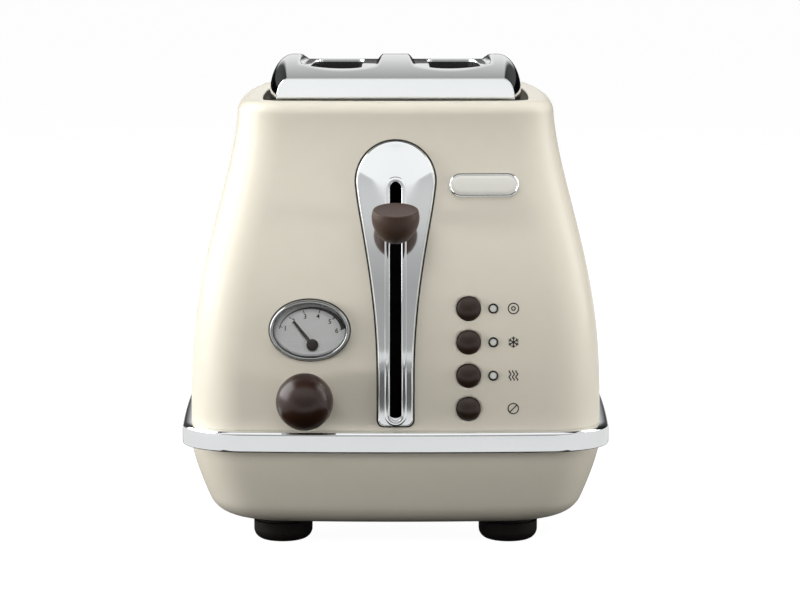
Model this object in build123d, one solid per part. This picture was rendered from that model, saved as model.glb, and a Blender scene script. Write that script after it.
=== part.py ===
from build123d import *
import math
import os

# A two-slot toaster with a bell-shaped body on a belt and a bowl.
# Millimetres, +Z up. The lever end faces -Y, and +X is to the right of someone in front of it.
# The origin is on the table, under the middle of the whole toaster, knobs included.

# A quarter of a full turn, in degrees
quarter_turn = 90.0

# Overall sizes
belt_width = 225.0
belt_length = 336.0
knob_reach = 23.5
foot_height = 12.5
belt_bottom = 53.4
belt_height = 9.0
belt_roof = 1.1
belt_proud = 4.5
belt_ring_depth = 9.5
belt_edge_round = 0.7
belt_roof_setback = 1.0
belt_web = 2.4
belt_flange = 1.6
body_top = 227.2
cover_top = 247.0

# The belt's front face, and the middle of the body behind it
belt_front = knob_reach - (belt_length + knob_reach) / 2
middle = belt_front + belt_length / 2

# Plan outline: a rounded rectangle with gently bowed sides
side_bow = 5.0
end_bow = 4.6
belt_corner = 32.0
shell_corner_foot = 28.0
shell_corner_top = 26.0

# Body shell
shell_wall = 0.9
shell_foot = belt_bottom + belt_height + belt_roof
shell_half = belt_width / 2 - belt_proud
shell_half_length = belt_length / 2 - belt_proud
shell_inset = 23.6
shell_inset_power = 1.45
end_inset_ratio = 1.13
shell_sections = 12
lip_round = 6.4
lip_width = 13.0

# Lower bowl
bowl_wall = 2.2
bowl_inset = 13.5
bowl_inset_power = 1.3
bowl_sections = 6
bowl_round = 18.0
bowl_window_ledge = 10.0
bowl_window_front = 58.0
bowl_window_tail = 66.0
bowl_window_corner = 8.0

# Bottom plate, its rails for the tray and its air slots
plate_thickness = 0.8
bottom_plate_margin = 20.5
bottom_plate_half = shell_half - bowl_inset - bottom_plate_margin
bottom_plate_front = 36.0
bottom_plate_back = belt_length - bottom_plate_front
bottom_plate_corner = 10.0
rail_height = 9.0
air_slot_width = 3.0
air_slot_length = 20.0
air_slot_pitch = 9.0
air_slot_count = 6
air_slot_depth = 74.0

# Feet and screws
foot_radius = 15.2
foot_round = 5.5
foot_neck_radius = 13.0
foot_neck_height = 2.5
foot_margin = 15.6
foot_side = bottom_plate_half - foot_margin
foot_depth = 49.0
foot_recess_radius = 6.0
foot_recess_height = 6.0
screw_radius = 2.0
screw_head_radius = 3.9
screw_head_height = 2.4
screw_reach = 3.0
housing_screw_margin = 8.0
housing_screw_side = bottom_plate_half - housing_screw_margin
housing_screw_depths = (110.0, 226.0)

# Top cover
cover_front = 62.0
cover_wall = 0.9
cover_end_drop = 9.1
cover_shoulder = 228.0
cover_margin = 27.2
cover_peak_half = shell_half - shell_inset - cover_margin
cover_end_taper = 1.9
cover_flare = 11.6
cover_sections = 9
cover_end_round = 1.2
trough_inner = 9.5
trough_inner_height = 243.3
trough_outer_height = 244.3
trough_floor = 241.5
trough_wall_run = 5.7
trough_outer = cover_peak_half - trough_wall_run
trough_wall_rise = 10.2
chute_height = 15.0

# Bread slots, over the chamber
slot_offset = 1.0
slot_side = (trough_inner + trough_outer) / 2 + slot_offset
slot_width = 28.0
slot_corner = 5.0

# Toasting chamber
sheet = 0.7
chamber_margin = 2.8
chamber_half = cover_peak_half + chamber_margin
chamber_front = 90.0
chamber_back = belt_length - chamber_front
chamber_top = 212.0
tray_window_height = 12.5
rack_gate_width = 6.0
rack_gate_margin = 8.0
flange_half = 26.0
flange_reach = 27.0
lower_flange = 40.0
upper_flange = 206.0
slot_end_margin = 8.0
slot_length = chamber_back - chamber_front - 2 * slot_end_margin

# Crumb tray
tray_margin = 6.0
tray_half = chamber_half - tray_margin
tray_front = 93.0
tray_wall = 0.6
tray_height = 8.0
tray_clearance = 0.4
tray_lip_depth = 8.0
tray_lip_half = 26.0
tray_lip_height = 2.6
tray_panel_height = 11.0
tray_tail = 40.0

# Vent frame between the cover and the shell
vent_frame_thickness = 2.0
vent_frame_gap = 14.0
vent_slot_length = 22.0
vent_slot_width = 4.0
vent_slot_pitch = 30.0
vent_slot_count = 5

# Element boards and heater ribbons
board_thickness = 0.8
board_offset = 22.0
board_bottom = 48.0
board_top = 200.0
board_count = 4
ribbon_width = 2.0
ribbon_thickness = 0.4
ribbon_runs = 10
ribbon_margin = 8.0

# Bread guards
guard_offset = 16.2
guard_wire = 0.9
guard_rail_radius = 1.1
guard_wires = 6
guard_bottom = 50.0
guard_top = 204.0

# Carriage
carriage_drop = 92.0
carriage_lift = 12.0
rod_radius = 2.5
rod_side = 20.0
rod_depth = 72.0
rod_overhang = 2.0
sleeve_radius = 4.5
sleeve_length = 24.0
running_clearance = 0.05
bracket_half = 46.0
bracket_thickness = 1.5
bracket_depth = 75.5
bracket_bottom = 148.0
bracket_top = 180.0
bracket_corner = 4.0
rack_height = 150.0
rack_thickness = 1.5
rack_spine_width = 4.0
rack_half_width = 10.0
rack_tooth_width = 3.0
rack_teeth = 9
rack_end_gap = 4.0

# Lever arm and lever knob
arm_half_width = 1.9
arm_height = 7.0
arm_middle = 169.0
arm_pocket = 7.0
lever_knob_radius = 11.8
lever_knob_height = 17.4
lever_knob_top = 176.6
lever_knob_setback = 12.1
lever_knob_tilt = 13.5
lever_knob_edge = 2.2
lever_knob_waist_radius = 9.7
lever_knob_waist_depth = 11.0

# Return spring
spring_side = 8.0
spring_radius = 3.0
spring_wire = 0.5
spring_turns = 10
spring_tab_height = 158.0

# Electromagnet
magnet_side = 42.0
magnet_half_width = 12.0
magnet_half_depth = 5.0
magnet_top = 45.0
magnet_yoke = 4.0
magnet_core_half = 3.0
coil_gap = 0.6
coil_half_depth = 8.0
coil_corner = 1.8
armature_gap = 0.8
armature_thickness = 2.5
armature_half_width = 14.0
armature_half_depth = 6.0

# Lever plate on the front and the bead round its slot
lever_plate_proud = 2.6
lever_head_radius = 20.8
lever_head_height = 188.0
lever_head_end_angle = -12.0
lever_plate_bottom = 66.3
lever_plate_foot_half = 8.6
lever_plate_waist_half = 11.5
lever_plate_waist_height = 131.0
lever_plate_knee_height = 98.0
lever_plate_corner = 2.0
slot_half_width = 2.6
slot_bottom = 69.7
slot_top = 187.4
bead_width = 2.6
bead_proud = 1.2

# Gauge
gauge_margin = 65.25
gauge_side = gauge_margin - shell_half
gauge_height = 115.05
gauge_half_width = 20.65
gauge_half_height = 15.75
gauge_band = 2.6
gauge_proud = 3.0
gauge_sleeve = 1.2
gauge_fit = 0.1
glass_front = 1.9
glass_thickness = 1.0
dial_depth = 13.0
dial_thickness = 0.8
pivot_offset = 0.95
pivot_side = gauge_side + pivot_offset
pivot_height = 106.4
needle_length = 15.0
needle_angle = 38.2
needle_tail = 4.0
needle_half_width = 0.9
needle_tip_half = 0.3
needle_thickness = 0.6
needle_depth = 11.4
needle_hub_radius = 3.0
arbor_radius = 1.0
arbor_hole_radius = 1.6

# Browning knob and its gear train
knob_offset = 2.35
knob_side = gauge_side - knob_offset
knob_height = 80.9
knob_radius = 14.25
knob_back = 3.0
knob_collar_radius = 7.0
knob_collar_gap = 0.5
shaft_radius = 3.0
shaft_hole_clearance = 0.6
shaft_front = -2.0
gear_module = 0.8
gear_front = 16.6
gear_thickness = 3.0
gear_backlash = 0.14
gear_dedendum = 1.25
pressure_angle = 20.0
flank_steps = 3
knob_teeth = 16
idler_teeth = 20
needle_teeth = 32
stud_radius = 1.5
stud_reach = 2.6
needle_gear_web = 0.5
bracket_plate_front = 20.0
bracket_plate_thickness = 1.5
bracket_post_radius = 2.5
bracket_post_offsets = ((-26.25, 84.0), (20.75, 88.0), (-24.25, 128.0), (24.75, 128.0))
bracket_margin = 4.5
bracket_low = 68.0
potentiometer_half = 8.5
potentiometer_length = 9.0
potentiometer_bore_depth = 6.0
potentiometer_corner = 2.0

# Buttons, status lenses and their board
button_margin = 71.5
button_side = shell_half - button_margin
button_heights = (125.1, 108.4, 91.7, 75.0)
button_names = ("button_bagel", "button_defrost", "button_reheat", "button_cancel")
button_radius = 6.35
button_dome = 1.7
button_proud = 1.0
button_travel = 1.5
button_fit = 0.1
button_flange_radius = 7.5
button_flange_thickness = 1.2
button_flange_gap = 0.4
button_stem_radius = 3.5
button_stem_gap = 0.4
lens_offset = 12.4
lens_side = button_side + lens_offset
lens_radius = 1.8
lens_ring_radius = 2.6
lens_proud = 0.6
lens_ring_proud = 0.8
carrier_depth = 16.0
carrier_thickness = 1.5
carrier_reach_left = 14.5
carrier_reach_right = 39.5
carrier_left = button_side - carrier_reach_left
carrier_right = button_side + carrier_reach_right
carrier_bottom = 64.0
carrier_top = 136.0
carrier_post_radius = 2.5
carrier_post_inset = 4.5
circuit_depth = 25.0
circuit_thickness = 1.6
switch_height = 3.5
switch_half = 3.0
relay_inset = 8.0
relay_bottom = 74.0
relay_side = 18.0
relay_depth = 15.0
chip_bottom = 104.0
chip_width = 10.0
chip_height = 18.0
chip_depth = 2.0
transformer_inset = 32.0
transformer_bottom = 96.0
transformer_side = 19.0
transformer_depth = 18.0

# Terminal block and cord gland
terminal_half_width = 20.0
terminal_height = 12.0
terminal_bottom = 34.0
terminal_depth = 14.0
terminal_bores = 3
terminal_bore_radius = 2.0
gland_margin = 38.0
gland_side = shell_half - gland_margin
gland_height = 39.0
gland_radius = 6.0
gland_flange_radius = 8.5
gland_flange_reach = 3.0
gland_bore_radius = 3.2
gland_inner_reach = 10.0

# Sizes that follow from the ones above
bowl_floor = foot_height
bowl_window_half = tray_half - bowl_window_ledge
bowl_window_back = belt_length - bowl_window_tail
plate_top = bowl_floor + bowl_wall + plate_thickness
cover_back = belt_length - cover_front
cover_side = cover_peak_half + cover_flare
vent_frame_height = chamber_top - vent_frame_thickness
arm_reach_front = -lever_knob_setback + arm_pocket / 2
tray_floor = plate_top + tray_clearance
tray_window_top = plate_top + tray_window_height
foot_depths = (foot_depth, belt_length - foot_depth)
rack_gate_bottom = rack_height - carriage_drop - rack_gate_margin
rack_gate_top = rack_height + rack_thickness + carriage_lift + rack_gate_margin
lens_heights = button_heights[:3]

# How far holes and cut bodies reach, always past the wall that they cut
deep = 80.0
ahead = -30.0


def at_depth(depth):
    """The Y of something that lies this far behind the belt's front."""
    return belt_front + depth


def plan(half_x, half_y, corner):
    """A rounded rectangle with bowed sides, drawn round its own middle."""
    edge_x = half_x - side_bow
    edge_y = half_y - end_bow
    front = ThreePointArc((-edge_x, -edge_y), (0, -half_y), (edge_x, -edge_y))
    right = ThreePointArc((edge_x, -edge_y), (half_x, 0), (edge_x, edge_y))
    back = ThreePointArc((edge_x, edge_y), (0, half_y), (-edge_x, edge_y))
    left = ThreePointArc((-edge_x, edge_y), (-half_x, 0), (-edge_x, -edge_y))
    outline = make_face([front, right, back, left])
    return fillet(outline.vertices(), corner)


def level(outline, height):
    """Puts a plan outline at a height, round the middle of the body."""
    return Pos(0, middle, height) * outline


def shell_inset_at(height):
    """How far the bell has drawn in at a height: an S-curve that starts slowly."""
    share = (height - shell_foot) / (body_top - shell_foot)
    bent = max(share, 0.0) ** shell_inset_power
    return shell_inset * bent * bent * (3 - 2 * bent)


def shell_plan(height, grow):
    """The bell's outline at a height, grown or shrunk by an even amount."""
    inset = shell_inset_at(height)
    corner = shell_corner_foot + (shell_corner_top - shell_corner_foot) * inset / shell_inset
    half_x = shell_half - inset + grow
    half_y = shell_half_length - inset * end_inset_ratio + grow
    return plan(half_x, half_y, corner + grow)


def bell(grow, top, top_round):
    """The solid bell from its foot to a top height, with its top edge rounded."""
    step = (top - shell_foot) / (shell_sections - 1)
    heights = [shell_foot + step * number for number in range(shell_sections)]
    body = loft([level(shell_plan(height, grow), height) for height in heights])
    if top_round > 0:
        body = fillet(body.faces().sort_by(Axis.Z)[-1].edges(), top_round)
    return body


def front_surface(side, height):
    """The depth of the bell's front surface behind the belt's front, at a place on it."""
    inset = shell_inset_at(height)
    half_chord = shell_half - inset - side_bow
    bow_radius = (half_chord ** 2 + end_bow ** 2) / (2 * end_bow)
    bow = bow_radius - math.sqrt(bow_radius ** 2 - side ** 2)
    return belt_proud + inset * end_inset_ratio + bow


def front_prism(outline, back=deep, front=ahead):
    """Carries an outline drawn in side and height through the front, between two depths."""
    placed = Pos(0, at_depth(back), 0) * (Plane.XZ * outline)
    return extrude(placed, amount=back - front)


def rod_y(radius, front, back, side, height):
    """A round rod from one depth to another, front to back."""
    return front_prism(Pos(side, height) * Circle(radius), back, front)


def block(left, right, front, back, bottom, top):
    """A box between two sides, two depths and two heights."""
    size = (right - left, back - front, top - bottom)
    centre = ((left + right) / 2, at_depth((front + back) / 2), (bottom + top) / 2)
    return Pos(*centre) * Box(*size)


def rod_z(radius, side, depth, bottom, top):
    """An upright round rod."""
    upright = Cylinder(radius, top - bottom, align=(Align.CENTER, Align.CENTER, Align.MIN))
    return Pos(side, at_depth(depth), bottom) * upright


def make_body_shell():
    """The thin bell with its rolled lip, and the holes for what comes through its front."""
    wall = bell(0, body_top, lip_round)
    wall -= bell_cavity()
    top_plan = shell_plan(body_top, -lip_width)
    wall -= extrude(level(top_plan, body_top - deep), amount=deep + lip_round)
    slot_middle = (slot_bottom + slot_top) / 2
    slot_outline = SlotOverall(slot_top - slot_bottom, 2 * slot_half_width, rotation=quarter_turn)
    wall -= front_prism(Pos(0, slot_middle) * slot_outline)
    wall -= front_prism(gauge_outline(gauge_sleeve - gauge_band + gauge_fit))
    wall -= rod_y(shaft_radius + shaft_hole_clearance, ahead, deep, knob_side, knob_height)
    for height in button_heights:
        wall -= rod_y(button_radius + button_fit, ahead, deep, button_side, height)
    for height in lens_heights:
        wall -= rod_y(lens_radius, ahead, deep, lens_side, height)
    return wall


def bell_cavity():
    """The space inside the bell's wall."""
    return bell(-shell_wall, body_top - shell_wall, lip_round - shell_wall)


def bowl_solid(shrink):
    """The solid bowl, drawn in towards its floor and rounded under."""
    floor = bowl_floor + shrink
    step = (belt_bottom - floor) / (bowl_sections - 1)
    outlines = []
    for number in range(bowl_sections):
        height = floor + step * number
        share = max((belt_bottom - height) / (belt_bottom - bowl_floor), 0.0)
        inset = bowl_inset * share ** bowl_inset_power + shrink
        outline = plan(shell_half - inset, shell_half_length - inset, shell_corner_foot - shrink)
        outlines.append(level(outline, height))
    body = loft(outlines)
    return fillet(body.faces().sort_by(Axis.Z)[0].edges(), bowl_round - shrink)


def make_lower_bowl(outer, inner):
    """The bowl's wall, with its floor window, tray window, gland hole and screw holes."""
    wall = outer - inner
    window_length = bowl_window_back - bowl_window_front
    window = RectangleRounded(2 * bowl_window_half, window_length, bowl_window_corner)
    window_middle = at_depth((bowl_window_front + bowl_window_back) / 2)
    wall -= Pos(0, window_middle, 0) * extrude(window, amount=bowl_floor + 2 * bowl_wall)
    wall -= tray_window(0)
    wall -= rod_y(gland_radius, belt_length - deep, belt_length, gland_side, gland_height)
    for side, depth in foot_places():
        wall -= rod_z(screw_radius, side, depth, 0, plate_top)
    for side, depth in housing_screw_places():
        wall -= rod_z(screw_radius, side, depth, 0, plate_top)
    return wall


def tray_window(clearance):
    """The opening in the bowl's back wall, or what fills it with a clearance all round."""
    half = tray_half + 2 * tray_clearance - clearance
    bottom = tray_floor - tray_clearance + clearance
    top = tray_floor + tray_panel_height - clearance
    return block(-half, half, belt_length - deep, belt_length, bottom, top)


def belt_level(setback, height):
    """The belt's outline at a height, set back from its face by an even amount."""
    outline = plan(belt_width / 2 - setback, belt_length / 2 - setback, belt_corner - setback)
    return level(outline, height)


def make_chrome_belt():
    """The belt: a channel with a softly edged face and a roof that slopes up to the bell."""
    band = extrude(belt_level(0, belt_bottom), amount=belt_height)
    top_edges = band.faces().sort_by(Axis.Z)[-1].edges()
    bottom_edges = band.faces().sort_by(Axis.Z)[0].edges()
    band = fillet(top_edges + bottom_edges, belt_edge_round)
    roof_foot = belt_level(belt_roof_setback, shell_foot - belt_roof)
    roof = loft([roof_foot, level(shell_plan(shell_foot, 0), shell_foot)])
    belt = band + roof - extrude(belt_level(belt_ring_depth, belt_bottom), amount=belt_height + belt_roof)
    channel_height = belt_height - 2 * belt_flange
    return belt - extrude(belt_level(belt_web, belt_bottom + belt_flange), amount=channel_height)


def foot_places():
    """Side and depth of each foot."""
    return [(side, depth) for depth in foot_depths for side in (-foot_side, foot_side)]


def housing_screw_places():
    """Side and depth of each screw that holds the bowl to the bottom plate."""
    sides = (-housing_screw_side, housing_screw_side)
    return [(side, depth) for depth in housing_screw_depths for side in sides]


def make_bottom_plate():
    """The steel plate inside the bowl's floor, with two folded rails and a row of air slots."""
    length = bottom_plate_back - bottom_plate_front
    outline = RectangleRounded(2 * bottom_plate_half, length, bottom_plate_corner)
    base = bowl_floor + bowl_wall
    plate_middle = at_depth((bottom_plate_front + bottom_plate_back) / 2)
    plate = Pos(0, plate_middle, base) * extrude(outline, amount=plate_thickness)
    rail_inner = tray_half + tray_clearance
    for direction in (-1, 1):
        sides = sorted((direction * rail_inner, direction * (rail_inner + plate_thickness)))
        plate += block(*sides, tray_front, bottom_plate_back, base, plate_top + rail_height)
    slot = SlotOverall(air_slot_length, air_slot_width, rotation=quarter_turn)
    slots = Sketch() + GridLocations(air_slot_pitch, 1, air_slot_count, 1) * slot
    plate -= Pos(0, at_depth(air_slot_depth), base) * extrude(slots, amount=plate_thickness)
    for side, depth in foot_places() + housing_screw_places():
        plate -= rod_z(screw_radius, side, depth, 0, plate_top)
    return plate


def make_foot(side, depth):
    """A round rubber foot with a soft lower edge, a narrower neck and a screw recess."""
    foot = rod_z(foot_radius, side, depth, 0, foot_height - foot_neck_height)
    foot = fillet(foot.faces().sort_by(Axis.Z)[0].edges(), foot_round)
    foot += rod_z(foot_neck_radius, side, depth, foot_height - foot_neck_height, foot_height)
    foot -= rod_z(foot_recess_radius, side, depth, 0, foot_recess_height)
    return foot - rod_z(screw_radius, side, depth, 0, foot_height)


def screw(side, depth, seat):
    """A pan-head screw whose head sits under a seat and whose shank goes up into the plate."""
    head = rod_z(screw_head_radius, side, depth, seat - screw_head_height, seat)
    head = fillet(head.faces().sort_by(Axis.Z)[0].edges(), screw_head_height / 2)
    return head + rod_z(screw_radius, side, depth, seat, plate_top + screw_reach)


def make_foot_screws():
    """The four screws that hold the feet."""
    return Compound(children=[screw(side, depth, foot_recess_height) for side, depth in foot_places()])


def make_housing_screws():
    """The four screws that hold the bowl to the bottom plate."""
    return Compound(children=[screw(side, depth, bowl_floor) for side, depth in housing_screw_places()])


def make_crumb_tray(bowl_outer, bowl_inner):
    """A folded tray with a front wall, side walls, and a back panel that continues the bowl."""
    back = belt_length - tray_tail
    top = tray_floor + tray_height
    tray = block(-tray_half, tray_half, tray_front, back, tray_floor, top)
    inner_half = tray_half - tray_wall
    tray -= block(-inner_half, inner_half, tray_front + tray_wall, back, tray_floor + tray_wall, top)
    panel = (bowl_outer - bowl_inner) & tray_window(tray_clearance)
    tail = block(-tray_half, tray_half, back, belt_length, tray_floor, top)
    tail -= block(-inner_half, inner_half, back, belt_length, tray_floor + tray_wall, top)
    tray += tail & bowl_outer
    lip_middle = tray_floor + tray_panel_height / 2
    lip_front = belt_length - belt_proud - bowl_inset - end_bow
    lip_top = lip_middle + tray_lip_height / 2
    lip_bottom = lip_middle - tray_lip_height / 2
    lip = block(-tray_lip_half, tray_lip_half, lip_front, lip_front + 2 * tray_lip_depth,
                lip_bottom, lip_top)
    lip = fillet(lip.edges().filter_by(Axis.Z), tray_lip_depth / 2)
    lip -= bowl_inner
    return tray + panel + lip


def make_end_plate(depth, is_front):
    """A sheet across the chamber, with gates for the bread racks and room for the tray."""
    plate = block(-chamber_half, chamber_half, depth, depth + sheet, plate_top, chamber_top)
    if is_front:
        for side in (-slot_side, slot_side):
            plate -= block(side - rack_gate_width / 2, side + rack_gate_width / 2,
                           depth, depth + sheet, rack_gate_bottom, rack_gate_top)
        for height in (lower_flange, upper_flange):
            plate += block(-flange_half, flange_half, depth - flange_reach, depth,
                           height, height + sheet)
        for side in (-rod_side, rod_side):
            plate -= rod_z(rod_radius, side, rod_depth, lower_flange, chamber_top)
        return plate
    half = tray_half + tray_clearance + plate_thickness + tray_clearance
    return plate - block(-half, half, depth, depth + sheet, plate_top, tray_window_top)


def make_reflector(direction):
    """A side sheet that closes the chamber and carries the cover's skirt."""
    sides = sorted((direction * chamber_half, direction * (chamber_half - sheet)))
    back = chamber_back - sheet
    return block(*sides, chamber_front + sheet, back, tray_window_top, chamber_top)


def board_place(number):
    """The inner and outer side of one element board, from left to right."""
    slot = -slot_side if number < 2 else slot_side
    direction = -1 if number % 2 == 0 else 1
    near = slot + direction * board_offset
    return near, near + direction * board_thickness, direction


def make_element_board(number):
    """A mica sheet that stands between the end plates."""
    near, far, direction = board_place(number)
    sides = sorted((near, far))
    back = chamber_back - sheet
    return block(*sides, chamber_front + sheet, back, board_bottom, board_top)


def make_heater_wires():
    """On each board, one flat ribbon that runs to and fro along it on the side of the bread."""
    front = chamber_front + sheet + ribbon_margin
    back = chamber_back - sheet - ribbon_margin
    low = board_bottom + ribbon_margin
    step = (board_top - ribbon_margin - low) / (ribbon_runs - 1)
    ribbons = []
    for number in range(board_count):
        near, far, direction = board_place(number)
        sides = sorted((near, near - direction * ribbon_thickness))
        ribbon = Part()
        for run in range(ribbon_runs):
            height = low + step * run
            ribbon += block(*sides, front, back, height, height + ribbon_width)
        for run in range(ribbon_runs - 1):
            height = low + step * run
            turn = back - ribbon_width if run % 2 == 0 else front
            ribbon += block(*sides, turn, turn + ribbon_width, height, height + step + ribbon_width)
        ribbons.append(ribbon)
    return Compound(children=[ribbon.solids()[0] for ribbon in ribbons])


def guard_grid(side):
    """One grid of upright wires between two rails that reach the end plates."""
    front = chamber_front + sheet
    back = chamber_back - sheet
    grid = Part()
    for height in (guard_bottom, guard_top):
        grid += rod_y(guard_rail_radius, front, back, side, height)
    step = (back - front) / guard_wires
    for number in range(guard_wires):
        depth = front + step * (number + 0.5)
        grid += rod_z(guard_wire, side, depth, guard_bottom, guard_top)
    return grid


def make_bread_guard(slot):
    """The two grids that keep the bread off the element boards of one slot."""
    grids = [guard_grid(slot - guard_offset), guard_grid(slot + guard_offset)]
    return Compound(children=[grid.solids()[0] for grid in grids])


def make_guide_rods():
    """The two upright rods that the carriage slides on."""
    rods = []
    for side in (-rod_side, rod_side):
        rods.append(rod_z(rod_radius, side, rod_depth, lower_flange - rod_overhang,
                          upper_flange + sheet + rod_overhang))
    return Compound(children=rods)


def make_carriage_bracket():
    """The pressed plate with its two sleeves, spring tab and armature tab."""
    back = bracket_depth + bracket_thickness
    plate = block(-bracket_half, bracket_half, bracket_depth, back, bracket_bottom, bracket_top)
    plate = fillet(plate.edges().filter_by(Axis.Y), bracket_corner)
    for side in (-rod_side, rod_side):
        plate += rod_z(sleeve_radius, side, rod_depth, bracket_bottom, bracket_bottom + sleeve_length)
    tab_side = spring_radius + spring_wire
    plate += block(spring_side - tab_side, spring_side + tab_side, rod_depth - tab_side, back,
                   spring_tab_height - sheet, spring_tab_height)
    armature_top = armature_bottom() + armature_thickness
    tab_front = rod_depth - armature_half_depth
    plate += block(magnet_side - magnet_core_half, magnet_side + magnet_core_half,
                   bracket_depth, back, armature_top, bracket_bottom + sleeve_length / 2)
    plate += block(magnet_side - magnet_core_half, magnet_side + magnet_core_half, tab_front,
                   back, armature_top, armature_top + sheet)
    for side in (-rod_side, rod_side):
        plate -= rod_z(rod_radius + running_clearance, side, rod_depth, 0, chamber_top)
    return plate


def armature_bottom():
    """The armature's height at rest: it stops just above the magnet when the lever is down."""
    return magnet_top + armature_gap + carriage_drop


def make_armature_plate():
    """The soft iron plate that the magnet holds."""
    return block(magnet_side - armature_half_width, magnet_side + armature_half_width,
                 rod_depth - armature_half_depth, rod_depth + armature_half_depth / 2,
                 armature_bottom(), armature_bottom() + armature_thickness)


def make_bread_rack(side):
    """A comb: one spine through the chamber's front plate and teeth across the slot."""
    front = bracket_depth + bracket_thickness
    back = chamber_back - sheet - rack_end_gap
    top = rack_height + rack_thickness
    rack = block(side - rack_spine_width / 2, side + rack_spine_width / 2, front, back,
                 rack_height, top)
    first = chamber_front + sheet + rack_end_gap
    step = (back - rack_tooth_width - first) / (rack_teeth - 1)
    for number in range(rack_teeth):
        depth = first + step * number
        rack += block(side - rack_half_width, side + rack_half_width, depth,
                      depth + rack_tooth_width, rack_height, top)
    return rack


def make_lever_arm():
    """The flat arm from the carriage through the slot into the knob."""
    return block(-arm_half_width, arm_half_width, arm_reach_front, bracket_depth,
                 arm_middle - arm_height / 2, arm_middle + arm_height / 2)


def make_lever_knob(arm):
    """A small bowl with a flat top that leans towards the user."""
    top = (lever_knob_radius - lever_knob_edge, 0)
    rim = (lever_knob_radius, -lever_knob_edge)
    waist = (lever_knob_waist_radius, -lever_knob_waist_depth)
    foot = (0, -lever_knob_height)
    edge = RadiusArc(top, rim, lever_knob_edge)
    side = Spline(rim, waist, foot, tangents=[(0, -1), (-1, 0)])
    profile = make_face([Line((0, 0), top), edge, side, Line(foot, (0, 0))])
    knob = revolve(Plane.XZ * profile, Axis.Z)
    place = Pos(0, at_depth(-lever_knob_setback), lever_knob_top)
    return place * Rot(lever_knob_tilt, 0, 0) * knob - arm


def make_return_spring():
    """The coil spring between the chamber plate's upper flange and the carriage."""
    bottom = spring_tab_height + spring_wire
    height = upper_flange - spring_wire - bottom
    path = Helix(height / spring_turns, height, spring_radius)
    section = Plane(origin=path @ 0, z_dir=path % 0) * Circle(spring_wire)
    return Pos(spring_side, at_depth(rod_depth), bottom) * sweep(section, path)


def make_magnet_core():
    """An E-shaped iron core that stands on the bottom plate."""
    front = rod_depth - magnet_half_depth
    back = rod_depth + magnet_half_depth
    core = block(magnet_side - magnet_half_width, magnet_side + magnet_half_width, front, back,
                 plate_top, magnet_top)
    for direction in (-1, 1):
        inner = direction * magnet_core_half
        outer = direction * (magnet_half_width - magnet_yoke)
        sides = sorted((magnet_side + inner, magnet_side + outer))
        core -= block(*sides, front, back, plate_top + magnet_yoke, magnet_top)
    return core


def make_magnet_coil():
    """The winding round the core's middle leg."""
    reach = magnet_half_width - magnet_yoke - coil_gap
    bottom = plate_top + magnet_yoke
    coil = block(magnet_side - reach, magnet_side + reach, rod_depth - coil_half_depth,
                 rod_depth + coil_half_depth, bottom, magnet_top - magnet_yoke)
    coil = fillet(coil.edges().filter_by(Axis.Z), coil_corner)
    front = rod_depth - magnet_half_depth
    back = rod_depth + magnet_half_depth
    return coil - block(magnet_side - magnet_core_half, magnet_side + magnet_core_half, front,
                        back, bottom, magnet_top)


def cover_section(share, shrink):
    """The cover's outline across, at a share of the way from its middle to one end."""
    bend = share * share
    peak = cover_peak_half - cover_end_taper * bend
    height = cover_top - cover_shoulder - cover_end_drop * bend
    flare = cover_flare * height / (cover_top - cover_shoulder) - shrink
    rise = height - shrink
    right = EllipticalCenterArc((peak, cover_shoulder), flare, rise, 0, arc_size=quarter_turn)
    left = EllipticalCenterArc((-peak, cover_shoulder), flare, rise, quarter_turn, arc_size=quarter_turn)
    crown = Line(right @ 1, left @ 0)
    foot_right = (peak + flare, chamber_top)
    foot_left = (-peak - flare, chamber_top)
    skirt = Polyline(left @ 1, foot_left, foot_right, right @ 0)
    return make_face([right, crown, left, skirt])


def cover_block(shrink):
    """The cover's solid: crowned and widest in its middle, with softly rounded end faces."""
    half_length = (cover_back - cover_front) / 2 - shrink
    sections = []
    for number in range(cover_sections):
        share = 2 * number / (cover_sections - 1) - 1
        place = Pos(0, middle + share * half_length, 0)
        sections.append(place * (Plane.XZ * cover_section(share, shrink)))
    body = loft(sections)
    if shrink == 0:
        for end in (0, -1):
            outline = body.faces().sort_by(Axis.Y)[end].edges()
            rim = [edge for edge in outline if edge.center().Z > (chamber_top + cover_shoulder) / 2]
            body = fillet(rim, cover_end_round)
    return body


def trough(side, sink):
    """The space over one dished trough, or the same space sunk by the sheet's thickness."""
    inner = (trough_inner - sink, trough_inner_height - sink)
    outer = (trough_outer + sink, trough_outer_height - sink)
    lowest = ((trough_inner + trough_outer) / 2, trough_floor - sink)
    above_outer = (outer[0] + trough_wall_run, outer[1] + trough_wall_rise)
    above_inner = (inner[0] - trough_wall_run, inner[1] + trough_wall_rise)
    floor = ThreePointArc(inner, lowest, outer)
    walls = Polyline(outer, above_outer, above_inner, inner)
    outline = make_face([floor, walls])
    space = front_prism(outline, belt_length, 0)
    return space if side > 0 else mirror(space, Plane.YZ)


def slot_prism(grow, bottom, top):
    """The upright space through one bread slot, on the right."""
    outline = RectangleRounded(slot_width + 2 * grow, slot_length + 2 * grow, slot_corner + grow)
    return Pos(slot_side, middle, bottom) * extrude(outline, amount=top - bottom)


def make_top_cover():
    """The chrome cover: side rails, a centre ridge, two troughs and a slot with a chute in each."""
    outer = cover_block(0)
    inner = cover_block(cover_wall)
    for side in (-1, 1):
        outer -= trough(side, 0)
        inner -= trough(side, cover_wall)
    cover = outer - inner
    chute_bottom = trough_floor - chute_height
    for side in (-1, 1):
        tube = slot_prism(cover_wall, chute_bottom, cover_top)
        opening = slot_prism(0, chute_bottom, cover_top)
        if side < 0:
            tube = mirror(tube, Plane.YZ)
            opening = mirror(opening, Plane.YZ)
        cover += tube & outer
        cover -= opening
    return cover


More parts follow.
